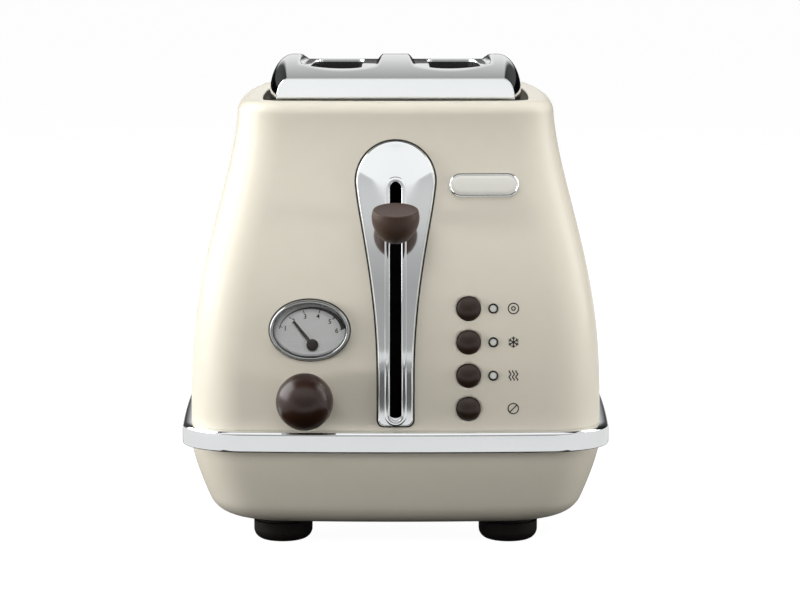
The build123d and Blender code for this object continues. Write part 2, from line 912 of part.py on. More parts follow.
def make_vent_frame():
    """The dark frame that closes the gap round the cover, with a row of slots on each side."""
    top = vent_frame_height + vent_frame_thickness
    slab = block(-belt_width / 2, belt_width / 2, 0, belt_length, vent_frame_height, top)
    frame = slab & bell_cavity()
    opening_front = cover_front + vent_frame_gap
    opening_back = cover_back - vent_frame_gap
    frame -= block(-chamber_half, chamber_half, opening_front, opening_back, vent_frame_height, top)
    slot = SlotOverall(vent_slot_length, vent_slot_width, rotation=quarter_turn)
    slots = Sketch() + GridLocations(1, vent_slot_pitch, 1, vent_slot_count) * slot
    shell_side = shell_half - shell_inset_at(chamber_top) - shell_wall
    gap_middle = (cover_side + shell_side) / 2
    for side in (-gap_middle, gap_middle):
        frame -= Pos(side, middle, vent_frame_height) * extrude(slots, amount=vent_frame_thickness)
    return frame


def lever_plate_outline():
    """A round head that narrows down to a slim foot, drawn in side and height."""
    angle = math.radians(lever_head_end_angle)
    head_end = (lever_head_radius * math.cos(angle),
                lever_head_height + lever_head_radius * math.sin(angle))
    head_top = (0, lever_head_height + lever_head_radius)
    middle_angle = (math.radians(quarter_turn) + angle) / 2
    head_middle = (lever_head_radius * math.cos(middle_angle),
                   lever_head_height + lever_head_radius * math.sin(middle_angle))
    waist = (lever_plate_waist_half, lever_plate_waist_height)
    knee = (lever_plate_foot_half, lever_plate_knee_height)
    foot = (lever_plate_foot_half, lever_plate_bottom)
    head = ThreePointArc(head_top, head_middle, head_end)
    flank = Spline(head_end, waist, knee,
                   tangents=[(math.sin(angle), -math.cos(angle)), (0, -1)])
    half = [head, flank, Line(knee, foot), Line(foot, (0, lever_plate_bottom)),
            Line((0, lever_plate_bottom), head_top)]
    right = make_face(half)
    whole = right + mirror(right, Plane.YZ)
    corners = whole.vertices().group_by(Axis.Y)[0].filter_by(
        lambda corner: abs(corner.X) > lever_plate_foot_half / 2)
    return fillet(corners, lever_plate_corner)


def bead_outline(grow):
    """The rounded slot outline, grown by some width."""
    length = slot_top - slot_bottom + 2 * grow
    width = 2 * slot_half_width + 2 * grow
    return Pos(0, (slot_bottom + slot_top) / 2) * SlotOverall(length, width, rotation=quarter_turn)


def front_skin(inner, outer):
    """The layer between two distances in front of the bell's surface."""
    return bell(outer, body_top, 0) - bell(inner, body_top, 0)


def make_lever_plate():
    """The teardrop plate that lies on the bell's front."""
    plate = front_prism(lever_plate_outline()) & front_skin(0, lever_plate_proud)
    return plate - front_prism(bead_outline(bead_width))


def make_lever_slot_bezel():
    """The bead round the lever's slot."""
    ring = bead_outline(bead_width) - bead_outline(0)
    return front_prism(ring) & front_skin(0, lever_plate_proud + bead_proud)


def gauge_outline(grow):
    """The gauge's oval, grown or shrunk, drawn in side and height."""
    oval = Ellipse(gauge_half_width + grow, gauge_half_height + grow)
    return Pos(gauge_side, gauge_height) * oval


def make_gauge_bezel():
    """The chrome oval ring on the bell's front and its sleeve through the wall."""
    band = front_prism(gauge_outline(0) - gauge_outline(-gauge_band)) & front_skin(0, gauge_proud)
    sleeve_ring = gauge_outline(gauge_sleeve - gauge_band) - gauge_outline(-gauge_band)
    sleeve = front_prism(sleeve_ring, dial_depth + dial_thickness, 0)
    sleeve &= bell(gauge_proud / 2, body_top, 0)
    return band + sleeve


def make_gauge_dial():
    """The flat dial at the back of the sleeve, with a hole for the needle's arbor."""
    dial = front_prism(gauge_outline(-gauge_band), dial_depth + dial_thickness, dial_depth)
    hole = rod_y(arbor_hole_radius, 0, deep, pivot_side, pivot_height)
    return dial - hole


def make_gauge_glass():
    """The clear window inside the oval ring."""
    skin = front_skin(glass_front - glass_thickness, glass_front)
    return front_prism(gauge_outline(-gauge_band)) & skin


def make_gauge_needle():
    """A tapered pointer with a round hub."""
    half = needle_half_width
    pointer = make_face(Polyline([(-half, -needle_tail), (half, -needle_tail),
                                  (needle_tip_half, needle_length),
                                  (-needle_tip_half, needle_length)],
                                 close=True))
    outline = pointer + Circle(needle_hub_radius) - Circle(arbor_radius)
    placed = Pos(pivot_side, pivot_height) * Rot(0, 0, needle_angle) * outline
    return front_prism(placed, needle_depth + needle_thickness, needle_depth)


def gear_outline(teeth, phase):
    """Involute teeth with one tooth's middle at an angle, in degrees, from the right."""
    pitch_radius = gear_module * teeth / 2
    base_radius = pitch_radius * math.cos(math.radians(pressure_angle))
    tip_radius = pitch_radius + gear_module
    root_radius = pitch_radius - gear_dedendum * gear_module
    half_at_pitch = math.pi / (2 * teeth) - gear_backlash / (2 * pitch_radius)
    start = max(base_radius, root_radius)

    def half_angle(radius):
        pressure = math.acos(min(base_radius / radius, 1.0))
        involute = math.tan(pressure) - pressure
        pitch_pressure = math.radians(pressure_angle)
        return half_at_pitch + math.tan(pitch_pressure) - pitch_pressure - involute

    rise = (tip_radius - start) / flank_steps
    flank = [start + rise * step for step in range(flank_steps + 1)]
    points = []
    for tooth in range(teeth):
        centre = math.radians(phase) + 2 * math.pi * tooth / teeth
        rising = [(root_radius, half_angle(start))] + [(r, half_angle(r)) for r in flank]
        for radius, angle in rising:
            points.append((radius * math.cos(centre - angle), radius * math.sin(centre - angle)))
        for radius, angle in reversed(rising):
            points.append((radius * math.cos(centre + angle), radius * math.sin(centre + angle)))
    return make_face(Polyline(points, close=True))


def pitch_radius_of(teeth):
    """The pitch radius of a gear of the train."""
    return gear_module * teeth / 2


def idler_place():
    """Where the idler meets both the knob's gear and the needle's gear, on their left."""
    reach_knob = pitch_radius_of(knob_teeth) + pitch_radius_of(idler_teeth)
    reach_needle = pitch_radius_of(needle_teeth) + pitch_radius_of(idler_teeth)
    across = pivot_side - knob_side
    up = pivot_height - knob_height
    span = math.hypot(across, up)
    along = (reach_knob ** 2 - reach_needle ** 2 + span ** 2) / (2 * span)
    aside = math.sqrt(reach_knob ** 2 - along ** 2)
    side = knob_side + (across * along - up * aside) / span
    height = knob_height + (up * along + across * aside) / span
    return side, height


def meshing_phase(teeth, phase, place, next_teeth, next_place):
    """The phase that puts the next gear's gap on this gear's tooth."""
    bearing = math.degrees(math.atan2(next_place[1] - place[1], next_place[0] - place[0]))
    share = (bearing - phase) * teeth / 360
    return bearing + 180 - (0.5 - share) * 360 / next_teeth


def gear_phases():
    """The phases of the knob's gear, the idler and the needle's gear at rest."""
    knob_place = (knob_side, knob_height)
    needle_place = (pivot_side, pivot_height)
    idler = idler_place()
    idler_phase = meshing_phase(knob_teeth, 0, knob_place, idler_teeth, idler)
    needle_phase = meshing_phase(idler_teeth, idler_phase, idler, needle_teeth, needle_place)
    return 0, idler_phase, needle_phase


def gear_disc(teeth, phase, place):
    """A gear blank with its teeth, at its place in the train."""
    outline = Pos(*place) * gear_outline(teeth, phase)
    return front_prism(outline, gear_front + gear_thickness, gear_front)


def make_knob_gear():
    """The small gear on the browning knob's shaft."""
    gear = gear_disc(knob_teeth, gear_phases()[0], (knob_side, knob_height))
    return gear - rod_y(shaft_radius, 0, deep, knob_side, knob_height)


def make_idler_gear():
    """The idler that turns on the bracket's stud."""
    gear = gear_disc(idler_teeth, gear_phases()[1], idler_place())
    return gear - rod_y(stud_radius + running_clearance, 0, deep, *idler_place())


def make_needle_gear():
    """The needle's gear with the arbor that reaches through the dial."""
    place = (pivot_side, pivot_height)
    gear = gear_disc(needle_teeth, gear_phases()[2], place)
    gear -= rod_y(stud_radius + running_clearance, gear_front + needle_gear_web, deep, *place)
    return gear + rod_y(arbor_radius, needle_depth, gear_front, *place)


def make_gear_bracket():
    """The plate that carries the train: two studs, four posts to the shell and a shaft hole."""
    places = [(gauge_side + offset, height) for offset, height in bracket_post_offsets]
    sides = [side for side, height in places]
    heights = [height for side, height in places] + [bracket_low + bracket_margin]
    back = bracket_plate_front + bracket_plate_thickness
    plate = block(min(sides) - bracket_margin, max(sides) + bracket_margin, bracket_plate_front,
                  back, min(heights) - bracket_margin, max(heights) + bracket_margin)
    plate = fillet(plate.edges().filter_by(Axis.Y), bracket_margin)
    stud_front = bracket_plate_front - stud_reach
    for place in (idler_place(), (pivot_side, pivot_height)):
        plate += rod_y(stud_radius, stud_front, bracket_plate_front, *place)
    posts = Part()
    for place in places:
        posts += rod_y(bracket_post_radius, 0, bracket_plate_front, *place)
    plate += posts & bell_cavity()
    hole = rod_y(shaft_radius + running_clearance, 0, deep, knob_side, knob_height)
    return plate - hole


def make_knob_shaft():
    """The shaft from the browning knob through its gear into the potentiometer."""
    back = bracket_plate_front + bracket_plate_thickness + potentiometer_bore_depth
    return rod_y(shaft_radius, shaft_front, back - running_clearance, knob_side, knob_height)


def make_browning_knob(shaft):
    """A ball with its back cut flat and a collar towards the bell."""
    centre_depth = knob_radius - knob_reach
    centre = (knob_side, at_depth(centre_depth), knob_height)
    knob = Pos(*centre) * Sphere(knob_radius)
    span = 2 * knob_radius
    knob -= block(knob_side - span, knob_side + span, knob_back, knob_back + span,
                  knob_height - span, knob_height + span)
    nearest = front_surface(knob_side + knob_collar_radius, knob_height - knob_collar_radius)
    collar_back = nearest - knob_collar_gap
    knob += rod_y(knob_collar_radius, 0, collar_back, knob_side, knob_height)
    return knob - shaft


def make_potentiometer():
    """The rotary part that the browning shaft turns, on the back of the bracket."""
    front = bracket_plate_front + bracket_plate_thickness
    half = potentiometer_half
    body = block(knob_side - half, knob_side + half, front, front + potentiometer_length,
                 knob_height - half, knob_height + half)
    body = fillet(body.edges().filter_by(Axis.Y), potentiometer_corner)
    bore = rod_y(shaft_radius + running_clearance, front, front + potentiometer_bore_depth,
                 knob_side, knob_height)
    return body - bore


def make_button(height):
    """A domed button with a flange behind the wall and a stem towards its switch."""
    face = front_surface(button_side, height)
    head_front = face - button_proud
    deepest = front_surface(button_side + button_flange_radius, height + button_flange_radius)
    flange_front = deepest + shell_wall + button_flange_gap
    stem_back = circuit_depth - switch_height - button_travel - button_stem_gap
    dome_radius = (button_radius ** 2 + button_dome ** 2) / (2 * button_dome)
    apex = (0, at_depth(head_front - button_dome))
    rim = (button_radius, at_depth(head_front))
    dome = RadiusArc(apex, rim, dome_radius)
    outline = Polyline(
        rim,
        (button_radius, at_depth(flange_front)),
        (button_flange_radius, at_depth(flange_front)),
        (button_flange_radius, at_depth(flange_front + button_flange_thickness)),
        (button_stem_radius, at_depth(flange_front + button_flange_thickness)),
        (button_stem_radius, at_depth(stem_back)),
        (0, at_depth(stem_back)),
        apex,
    )
    profile = make_face([dome, outline])
    return Pos(button_side, 0, height) * revolve(profile, Axis.Y)


def make_status_lens(height):
    """A clear light guide from the front to the board."""
    face = front_surface(lens_side, height)
    lens = rod_y(lens_radius, face - lens_proud, circuit_depth, lens_side, height)
    return fillet(lens.faces().sort_by(Axis.Y)[0].edges(), lens_proud)


def make_lens_rings():
    """The three thin chrome rings round the lenses."""
    skin = front_skin(0, lens_ring_proud)
    rings = []
    for height in lens_heights:
        ring = Circle(lens_ring_radius) - Circle(lens_radius)
        piece = front_prism(Pos(lens_side, height) * ring) & skin
        rings.append(piece.solids()[0])
    return Compound(children=rings)


def carrier_post_places():
    """Side and height of the carrier's four posts."""
    sides = (carrier_left + carrier_post_inset, carrier_right - carrier_post_inset)
    heights = (carrier_bottom + carrier_post_inset, carrier_top - carrier_post_inset)
    return [(side, height) for side in sides for height in heights]


def make_board_carrier():
    """The moulded plate that guides the buttons and holds the board off the shell."""
    back = carrier_depth + carrier_thickness
    plate = block(carrier_left, carrier_right, carrier_depth, back, carrier_bottom, carrier_top)
    plate = fillet(plate.edges().filter_by(Axis.Y), carrier_post_radius)
    posts = Part()
    for place in carrier_post_places():
        posts += rod_y(carrier_post_radius, 0, circuit_depth, *place)
    plate += posts & bell_cavity()
    for height in button_heights:
        plate -= rod_y(button_stem_radius + running_clearance, 0, deep, button_side, height)
    for height in lens_heights:
        plate -= rod_y(lens_radius, 0, deep, lens_side, height)
    return plate


def make_control_board():
    """The circuit board behind the buttons."""
    board = block(carrier_left, carrier_right, circuit_depth, circuit_depth + circuit_thickness,
                  carrier_bottom, carrier_top)
    return fillet(board.edges().filter_by(Axis.Y), carrier_post_radius)


def board_part(inset, bottom, width, height, depth):
    """A part on the back of the board, at a distance from the board's left edge."""
    left = carrier_left + inset
    front = circuit_depth + circuit_thickness
    return block(left, left + width, front, front + depth, bottom, bottom + height)


def make_board_parts():
    """What stands on the board: a switch behind each button, and a relay, a chip, a transformer."""
    parts = []
    for height in button_heights:
        switch = block(button_side - switch_half, button_side + switch_half,
                       circuit_depth - switch_height, circuit_depth,
                       height - switch_half, height + switch_half)
        parts.append(switch)
    parts.append(board_part(relay_inset, relay_bottom, relay_side, relay_side, relay_depth))
    parts.append(board_part(relay_inset, chip_bottom, chip_width, chip_height, chip_depth))
    parts.append(board_part(transformer_inset, transformer_bottom, transformer_side,
                            transformer_side, transformer_depth))
    return Compound(children=parts)


def make_terminal_block():
    """The terminal block on the chamber's back plate, with a row of screw bores."""
    body = block(-terminal_half_width, terminal_half_width, chamber_back,
                 chamber_back + terminal_depth, terminal_bottom, terminal_bottom + terminal_height)
    step = 2 * terminal_half_width / terminal_bores
    for number in range(terminal_bores):
        side = -terminal_half_width + step * (number + 0.5)
        body -= rod_z(terminal_bore_radius, side, chamber_back + terminal_depth / 2,
                      terminal_bottom + terminal_height / 3, terminal_bottom + terminal_height)
    return body


def make_cord_gland(bowl_outer):
    """The gland in the back wall: a flange on the bowl's surface and a bored neck inside."""
    surface = belt_length - belt_proud - bowl_inset / 2
    flange = rod_y(gland_flange_radius, surface - gland_flange_reach, surface + 2 * gland_flange_reach,
                   gland_side, gland_height)
    flange -= bowl_outer
    neck = rod_y(gland_radius, surface - gland_inner_reach, surface + gland_flange_reach,
                 gland_side, gland_height)
    bore = rod_y(gland_bore_radius, 0, belt_length + deep, gland_side, gland_height)
    return flange + neck - bore


def make_all():
    """Every piece, under the name that a person would give it."""
    bowl_outer = bowl_solid(0)
    bowl_inner = bowl_solid(bowl_wall)
    shaft = make_knob_shaft()
    arm = make_lever_arm()
    pieces = {
        "body_shell": make_body_shell(),
        "lower_bowl": make_lower_bowl(bowl_outer, bowl_inner),
        "chrome_belt": make_chrome_belt(),
        "bottom_plate": make_bottom_plate(),
        "foot_screws": make_foot_screws(),
        "housing_screws": make_housing_screws(),
        "crumb_tray": make_crumb_tray(bowl_outer, bowl_inner),
        "front_end_plate": make_end_plate(chamber_front, True),
        "rear_end_plate": make_end_plate(chamber_back - sheet, False),
        "reflector_left": make_reflector(-1),
        "reflector_right": make_reflector(1),
        "heater_wires": make_heater_wires(),
        "bread_guard_left": make_bread_guard(-slot_side),
        "bread_guard_right": make_bread_guard(slot_side),
        "guide_rods": make_guide_rods(),
        "carriage_bracket": make_carriage_bracket(),
        "armature_plate": make_armature_plate(),
        "bread_rack_left": make_bread_rack(-slot_side),
        "bread_rack_right": make_bread_rack(slot_side),
        "lever_arm": arm,
        "lever_knob": make_lever_knob(arm),
        "return_spring": make_return_spring(),
        "magnet_core": make_magnet_core(),
        "magnet_coil": make_magnet_coil(),
        "top_cover": make_top_cover(),
        "vent_frame": make_vent_frame(),
        "lever_plate": make_lever_plate(),
        "lever_slot_bezel": make_lever_slot_bezel(),
        "gauge_bezel": make_gauge_bezel(),
        "gauge_dial": make_gauge_dial(),
        "gauge_glass": make_gauge_glass(),
        "gauge_needle": make_gauge_needle(),
        "knob_gear": make_knob_gear(),
        "idler_gear": make_idler_gear(),
        "needle_gear": make_needle_gear(),
        "gear_bracket": make_gear_bracket(),
        "knob_shaft": shaft,
        "browning_knob": make_browning_knob(shaft),
        "potentiometer": make_potentiometer(),
        "lens_rings": make_lens_rings(),
        "board_carrier": make_board_carrier(),
        "control_board": make_control_board(),
        "board_parts": make_board_parts(),
        "terminal_block": make_terminal_block(),
        "cord_gland": make_cord_gland(bowl_outer),
    }
    foot_names = ("foot_front_left", "foot_front_right", "foot_rear_left", "foot_rear_right")
    for name, (side, depth) in zip(foot_names, foot_places()):
        pieces[name] = make_foot(side, depth)
    for number in range(board_count):
        pieces[f"element_board_{number + 1}"] = make_element_board(number)
    for name, height in zip(button_names, button_heights):
        pieces[name] = make_button(height)
    for number, height in enumerate(lens_heights):
        pieces[f"status_lens_{number + 1}"] = make_status_lens(height)
    return pieces


os.makedirs("parts", exist_ok=True)
for piece_name, piece in make_all().items():
    export_step(piece, f"parts/{piece_name}.step")
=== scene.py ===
import bpy
import bmesh
import math
import numpy as np
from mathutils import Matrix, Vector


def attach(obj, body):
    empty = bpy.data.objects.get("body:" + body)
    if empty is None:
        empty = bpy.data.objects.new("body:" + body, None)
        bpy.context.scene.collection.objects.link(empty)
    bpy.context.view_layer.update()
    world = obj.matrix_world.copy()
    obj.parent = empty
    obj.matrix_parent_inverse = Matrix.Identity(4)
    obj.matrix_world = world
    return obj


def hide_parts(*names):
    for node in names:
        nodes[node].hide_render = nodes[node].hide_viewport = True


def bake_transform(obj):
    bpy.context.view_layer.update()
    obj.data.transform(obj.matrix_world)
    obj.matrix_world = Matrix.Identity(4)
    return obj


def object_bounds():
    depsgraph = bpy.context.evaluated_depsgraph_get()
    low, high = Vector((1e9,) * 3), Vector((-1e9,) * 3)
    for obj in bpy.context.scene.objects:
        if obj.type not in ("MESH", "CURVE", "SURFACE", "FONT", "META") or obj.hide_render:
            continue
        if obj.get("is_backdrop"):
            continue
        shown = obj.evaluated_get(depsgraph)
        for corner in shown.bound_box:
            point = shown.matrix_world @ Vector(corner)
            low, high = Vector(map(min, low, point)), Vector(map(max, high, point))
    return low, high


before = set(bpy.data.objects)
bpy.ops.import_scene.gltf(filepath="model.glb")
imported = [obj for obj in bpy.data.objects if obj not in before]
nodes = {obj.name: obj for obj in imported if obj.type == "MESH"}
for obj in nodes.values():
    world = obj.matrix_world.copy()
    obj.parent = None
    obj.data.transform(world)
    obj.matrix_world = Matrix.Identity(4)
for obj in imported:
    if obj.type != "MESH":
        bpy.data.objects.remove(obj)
cad_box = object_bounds()

# Sizes in millimetres, as the solids have them, but for the buttons and the gauge's ring, a little smaller
mm = 0.001
belt_front = -156.25
middle = 11.75
belt_half_width = 112.5
belt_half_length = 168.0
belt_proud = 4.5
belt_bottom = 53.4
belt_height = 9.0
belt_corner = 32.0
belt_ring_depth = 9.5
side_bow = 5.0
end_bow = 4.6
shell_foot = 63.5
body_top = 227.2
shell_half = belt_half_width - belt_proud
shell_half_length = belt_half_length - belt_proud
shell_inset = 23.6
shell_corner_foot = 28.0
shell_corner_top = 26.0
end_inset_ratio = 1.13
shell_wall = 0.9
lip_round = 6.4
lip_width = 13.0
bowl_floor = 12.5
bowl_wall = 2.2
tray_wall = 1.1
bowl_inset = 13.5
bowl_round = 18.0
tray_half = 54.0
tray_gap = 0.4
tray_low = 15.5
tray_high = 26.9
bread_side = 31.5
bread_reach = 70.0
bread_corner = 5.0
bread_box = (9.0, bread_reach - bread_corner)
slot_low = 69.7
slot_high = 187.4
slot_half_width = 2.6
slot_spine = (slot_low + slot_half_width, slot_high - slot_half_width)
bead_width = 2.6
gauge_side = -43.0
gauge_height = 114.5
gauge_half_width = 20.2
gauge_half_height = 15.2
gauge_band = 2.2
dial_depth = 13.0
ink_depth = dial_depth - 0.16
ink_lift = 0.07
number_size = 3.3
number_places = ((-55.4, 114.6), (-51.3, 118.3), (-45.4, 120.6), (-38.9, 120.7), (-33.0, 118.0),
                 (-29.6, 113.4))
pivot_side = -41.8
pivot_height = 106.4
knob_side = -45.1
knob_height = 80.9
knob_radius = 14.25
knob_reach = 23.5
button_side = 36.5
button_heights = (125.1, 108.4, 91.7, 75.0)
button_radius = 5.8
button_edge = 0.5
button_proud = 2.7
button_dome = 10.5
button_hole_radius = 6.2
lens_side = 48.9
lens_radius = 1.8
sign_side = 59.0
sign_width = 0.6
tiny = 1e-6
out_front = (0, -1, 0)
upwards = (0, 0, 1)


# Mesh helpers
def spots(*parts):
    """Points from their coordinates, each an array or one number for all."""
    return np.stack(np.broadcast_arrays(*parts), axis=-1)


def grid(points, loop_rows=False, loop_columns=False):
    """A grid of points, rows by columns by 3, as a list of points and the quads between neighbours."""
    index = np.arange(points.shape[0] * points.shape[1]).reshape(points.shape[:2])
    if loop_rows:
        index = np.vstack([index, index[:1]])
    if loop_columns:
        index = np.hstack([index, index[:, :1]])
    quads = [index[:-1, :-1], index[:-1, 1:], index[1:, 1:], index[1:, :-1]]
    return points.reshape(-1, 3), np.stack(quads, axis=-1).reshape(-1, 4)


def joined(*parts):
    """Several meshes as one."""
    starts = np.cumsum([0] + [len(points) for points, faces in parts[:-1]])
    faces = np.vstack([faces + start for (points, faces), start in zip(parts, starts)])
    return np.vstack([points for points, faces in parts]), faces


def facing(points, faces, towards=None):
    """Turns all faces over if they look inwards, or away from a given direction."""
    corner = points[faces]
    cross = np.cross(corner[:, 2] - corner[:, 0], corner[:, 3] - corner[:, 1])
    if towards is not None:
        amount = cross.sum(axis=0) @ np.array(towards, float)
    else:
        amount = ((corner.mean(axis=1) - points.mean(axis=0)) * cross).sum()
    return faces if amount >= 0 else faces[:, ::-1]


def make_piece(name, shape, look, body="housing", stands_for=None, towards=None, crease=35.0, wall=0.0,
               stretch=None):
    """A smooth mesh piece from points in millimetres that rides on its body, or, when stretch gives a first
    point and a last one, stays where it is without a body."""
    points, faces = shape
    mesh = bpy.data.meshes.new(name)
    mesh.from_pydata((points * mm).tolist(), [], facing(points, faces, towards).tolist())
    work = bmesh.new()
    work.from_mesh(mesh)
    bmesh.ops.remove_doubles(work, verts=work.verts, dist=2e-6)
    work.to_mesh(mesh)
    work.free()
    mesh.shade_smooth()
    mesh.set_sharp_from_angle(angle=math.radians(crease))
    piece = bpy.data.objects.new(name, mesh)
    bpy.context.scene.collection.objects.link(piece)
    mesh.materials.append(look)
    if wall:
        shell = piece.modifiers.new("wall", "SOLIDIFY")
        shell.thickness = wall * mm
        shell.offset = -1
    if stretch:
        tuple(stretch[0])
        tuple(stretch[1])
        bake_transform(piece)
    else:
        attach(piece, body)
    if stands_for:
        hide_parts(stands_for)


def smooth_through(knots, values, at):
    """A smooth curve through the knots: cubic pieces that share the slope at each knot."""
    knots, values, at = (np.asarray(v, float) for v in (knots, values, at))
    slopes = np.gradient(values, knots)
    place = np.clip(np.searchsorted(knots, at, side="right") - 1, 0, len(knots) - 2)
    span = knots[place + 1] - knots[place]
    t = (at - knots[place]) / span
    low = (1 + 2 * t) * (1 - t) ** 2 * values[place] + t * (1 - t) ** 2 * span * slopes[place]
    high = t * t * (3 - 2 * t) * values[place + 1] + t * t * (t - 1) * span * slopes[place + 1]
    return low + high


def arc(start, end, count):
    """Angles in radians from start to end, both in degrees."""
    return np.radians(np.linspace(start, end, count))


def unit(degrees):
    """A step of length one towards an angle."""
    return np.array([math.cos(math.radians(degrees)), math.sin(math.radians(degrees))])


def ring_points(centre, radius, start=0.0, end=360.0, count=40):
    """Points along a circle, or along the part of it between two angles."""
    angle = arc(start, end, count)
    return spots(centre[0] + radius * np.cos(angle), centre[1] + radius * np.sin(angle))


def line_points(start, end, count=6):
    """Points along a straight line."""
    return start + (end - start) * np.linspace(0, 1, count)[:, None]


def both_sides(half):
    """A half loop and its mirror image as one loop."""
    return np.vstack([half, half[-2:0:-1] * [-1, 1]])


def turned(profile, centre, count, tilt=0.0, upright=False):
    """A solid of revolution: each (radius, along) point goes round the axis.
    The axis runs back along +Y, or up along +Z for an upright one, and tilt leans it."""
    radius, along = np.asarray(profile, float).T
    angle = np.linspace(0, 2 * math.pi, count, endpoint=False)
    x, other = np.outer(radius, np.cos(angle)), np.outer(radius, np.sin(angle))
    axis = np.repeat(along[:, None], count, axis=1)
    y, z = (other, axis) if upright else (axis, other)
    lean = math.radians(tilt)
    y, z = y * math.cos(lean) - z * math.sin(lean), y * math.sin(lean) + z * math.cos(lean)
    return grid(spots(x, y, z) + np.array(centre, float), loop_columns=True)


# The body's own curves
def bell_inset(height):
    """How far the bell has drawn in: 3 b^2 - 2 b^3 of the share of its height to the power 1.45."""
    share = np.clip((height - shell_foot) / (body_top - shell_foot), 0, 1)
    bent = share ** 1.45
    return shell_inset * bent * bent * (3 - 2 * bent)


def bow(side, inset):
    """How far a shallow end arc has fallen back at a side: its radius less the root of r^2 - side^2."""
    chord = shell_half - inset - side_bow
    radius = (chord ** 2 + end_bow ** 2) / (2 * end_bow)
    return radius - np.sqrt(radius ** 2 - side ** 2)


def front_y(side, height):
    """The bell's front surface: its drawn-in end plus the bow of a shallow arc."""
    inset = bell_inset(height)
    return belt_front + belt_proud + inset * end_inset_ratio + bow(side, inset)


def on_front(side, height, raised=0.0):
    """Points at a side and height, raised off the bell's front."""
    return spots(side, front_y(side, height) - raised, height)


def plan(half_x, half_y, corner, ends=(80, 24), corners=10, sides=26):
    """Bowed rounded rectangles, one per row: each quarter is an arc of the end, a corner arc that
    touches both arcs, and an arc of the side. Returns x, y and the outward direction."""
    end_radius = ((half_x - side_bow) ** 2 + end_bow ** 2) / (2 * end_bow)
    side_radius = ((half_y - end_bow) ** 2 + side_bow ** 2) / (2 * side_bow)
    end_centre = end_radius - half_y
    side_centre = half_x - side_radius
    reach_end = end_radius - corner
    reach_side = side_radius - corner
    span = np.hypot(side_centre, end_centre)
    along = (reach_end ** 2 - reach_side ** 2 + span ** 2) / (2 * span)
    aside = np.sqrt(reach_end ** 2 - along ** 2)
    unit_x, unit_y = side_centre / span, -end_centre / span
    corner_x = unit_x * along - unit_y * aside
    corner_y = end_centre + unit_y * along + unit_x * aside
    end_angle = np.arctan2(corner_y - end_centre, corner_x)
    side_angle = np.arctan2(corner_y, corner_x - side_centre)
    nought = 0 * half_x

    def quarter(count):
        """From the end's middle round to just before the side's middle."""
        arcs = ((count, -math.pi / 2 + nought, end_angle, end_radius, nought, end_centre),
                (corners, end_angle, side_angle, corner, corner_x, corner_y),
                (sides, side_angle, nought, side_radius, side_centre, nought))
        parts = []
        for steps, first, last, radius, centre_x, centre_y in arcs:
            angle = first + (last - first) * np.linspace(0, 1, steps, endpoint=False)
            out_x, out_y = np.cos(angle), np.sin(angle)
            parts.append(np.stack([centre_x + radius * out_x, centre_y + radius * out_y, out_x, out_y]))
        return np.concatenate(parts, axis=-1)

    front, back = (quarter(count) for count in ends)
    side = np.stack([half_x, nought, 1 + nought, nought])
    rear = np.stack([nought, half_y, nought, 1 + nought])
    mirror_x, mirror_y = (np.array(signs)[:, None, None] for signs in ((-1, 1, -1, 1), (1, -1, 1, -1)))
    return np.concatenate([front, side, mirror_y * back[..., :0:-1], rear, -back[..., 1:],
                           mirror_x * side, mirror_x * front[..., :0:-1]], axis=-1)


def carried(half_x, half_y, corner, offset, height, **counts):
    """A profile carried round a plan: row i is plan i moved outwards by offset i, at height i."""
    half_x, half_y, corner, offset, height = (
        np.broadcast_to(np.asarray(v, float), len(height))[:, None]
        for v in (half_x, half_y, corner, offset, height))
    x, y, out_x, out_y = plan(half_x, half_y, corner, **counts)
    return spots(x + out_x * offset, y + out_y * offset + middle, height)


def without(shape, inside, snap):
    """Takes away the faces whose middle is inside, then moves the new rim onto the exact outline."""
    points, faces = shape
    gone = inside(points[faces].mean(axis=1))
    rim = np.intersect1d(faces[gone], faces[~gone])
    points = points.copy()
    points[rim] = snap(points[rim])
    return points, faces[~gone]


def front_hole(measure):
    """The test and the snap for a hole in the front: measure gives the side and height of each point's
    own centre, and its share of the way from there to the outline."""
    def inside(p):
        return (measure(p)[2] < 1) & (p[:, 1] < middle)

    def snap(p):
        side, height, share = measure(p)
        share = np.maximum(share, tiny)
        return on_front(side + (p[:, 0] - side) / share, height + (p[:, 2] - height) / share)
    return inside, snap


def slot_hole():
    """The hole behind the lever's slot, a little wider than it, so that the bead hides its rim."""
    def measure(p):
        spine = np.clip(p[:, 2], *slot_spine)
        return 0, spine, np.hypot(p[:, 0], p[:, 2] - spine) / (slot_half_width + 0.9)
    return front_hole(measure)


def oval_hole(side, height, half_x, half_z):
    """An oval or round hole in the front."""
    def measure(p):
        return side, height, np.hypot((p[:, 0] - side) / half_x, (p[:, 2] - height) / half_z)
    return front_hole(measure)


def bell_shape():
    """The bell: S-curved wall, quarter-round lip and a flat inner lip, with the holes in its front."""
    hem, tail = 0.35, 1.2
    wall = np.concatenate([np.linspace(shell_foot, 134, 68), np.linspace(136, body_top - lip_round, 42)])
    roll = arc(0, 90, 13)[1:]
    height = np.concatenate([wall, body_top - lip_round + lip_round * np.sin(roll),
                             [body_top, body_top, body_top - hem, body_top - tail]])
    offset = np.concatenate([0 * wall, -lip_round * (1 - np.cos(roll)),
                             [-9.5, hem - lip_width, -lip_width, -lip_width]])
    inset = bell_inset(height)
    corner = shell_corner_foot + (shell_corner_top - shell_corner_foot) * inset / shell_inset
    points = carried(shell_half - inset, shell_half_length - inset * end_inset_ratio, corner, offset, height)
    shape = grid(points, loop_columns=True)
    under = 1.3
    holes = [slot_hole(),
             oval_hole(gauge_side, gauge_height, gauge_half_width - under, gauge_half_height - under)]
    holes += [oval_hole(button_side, z, button_hole_radius, button_hole_radius) for z in button_heights]
    for hole in holes:
        shape = without(shape, *hole)
    return shape


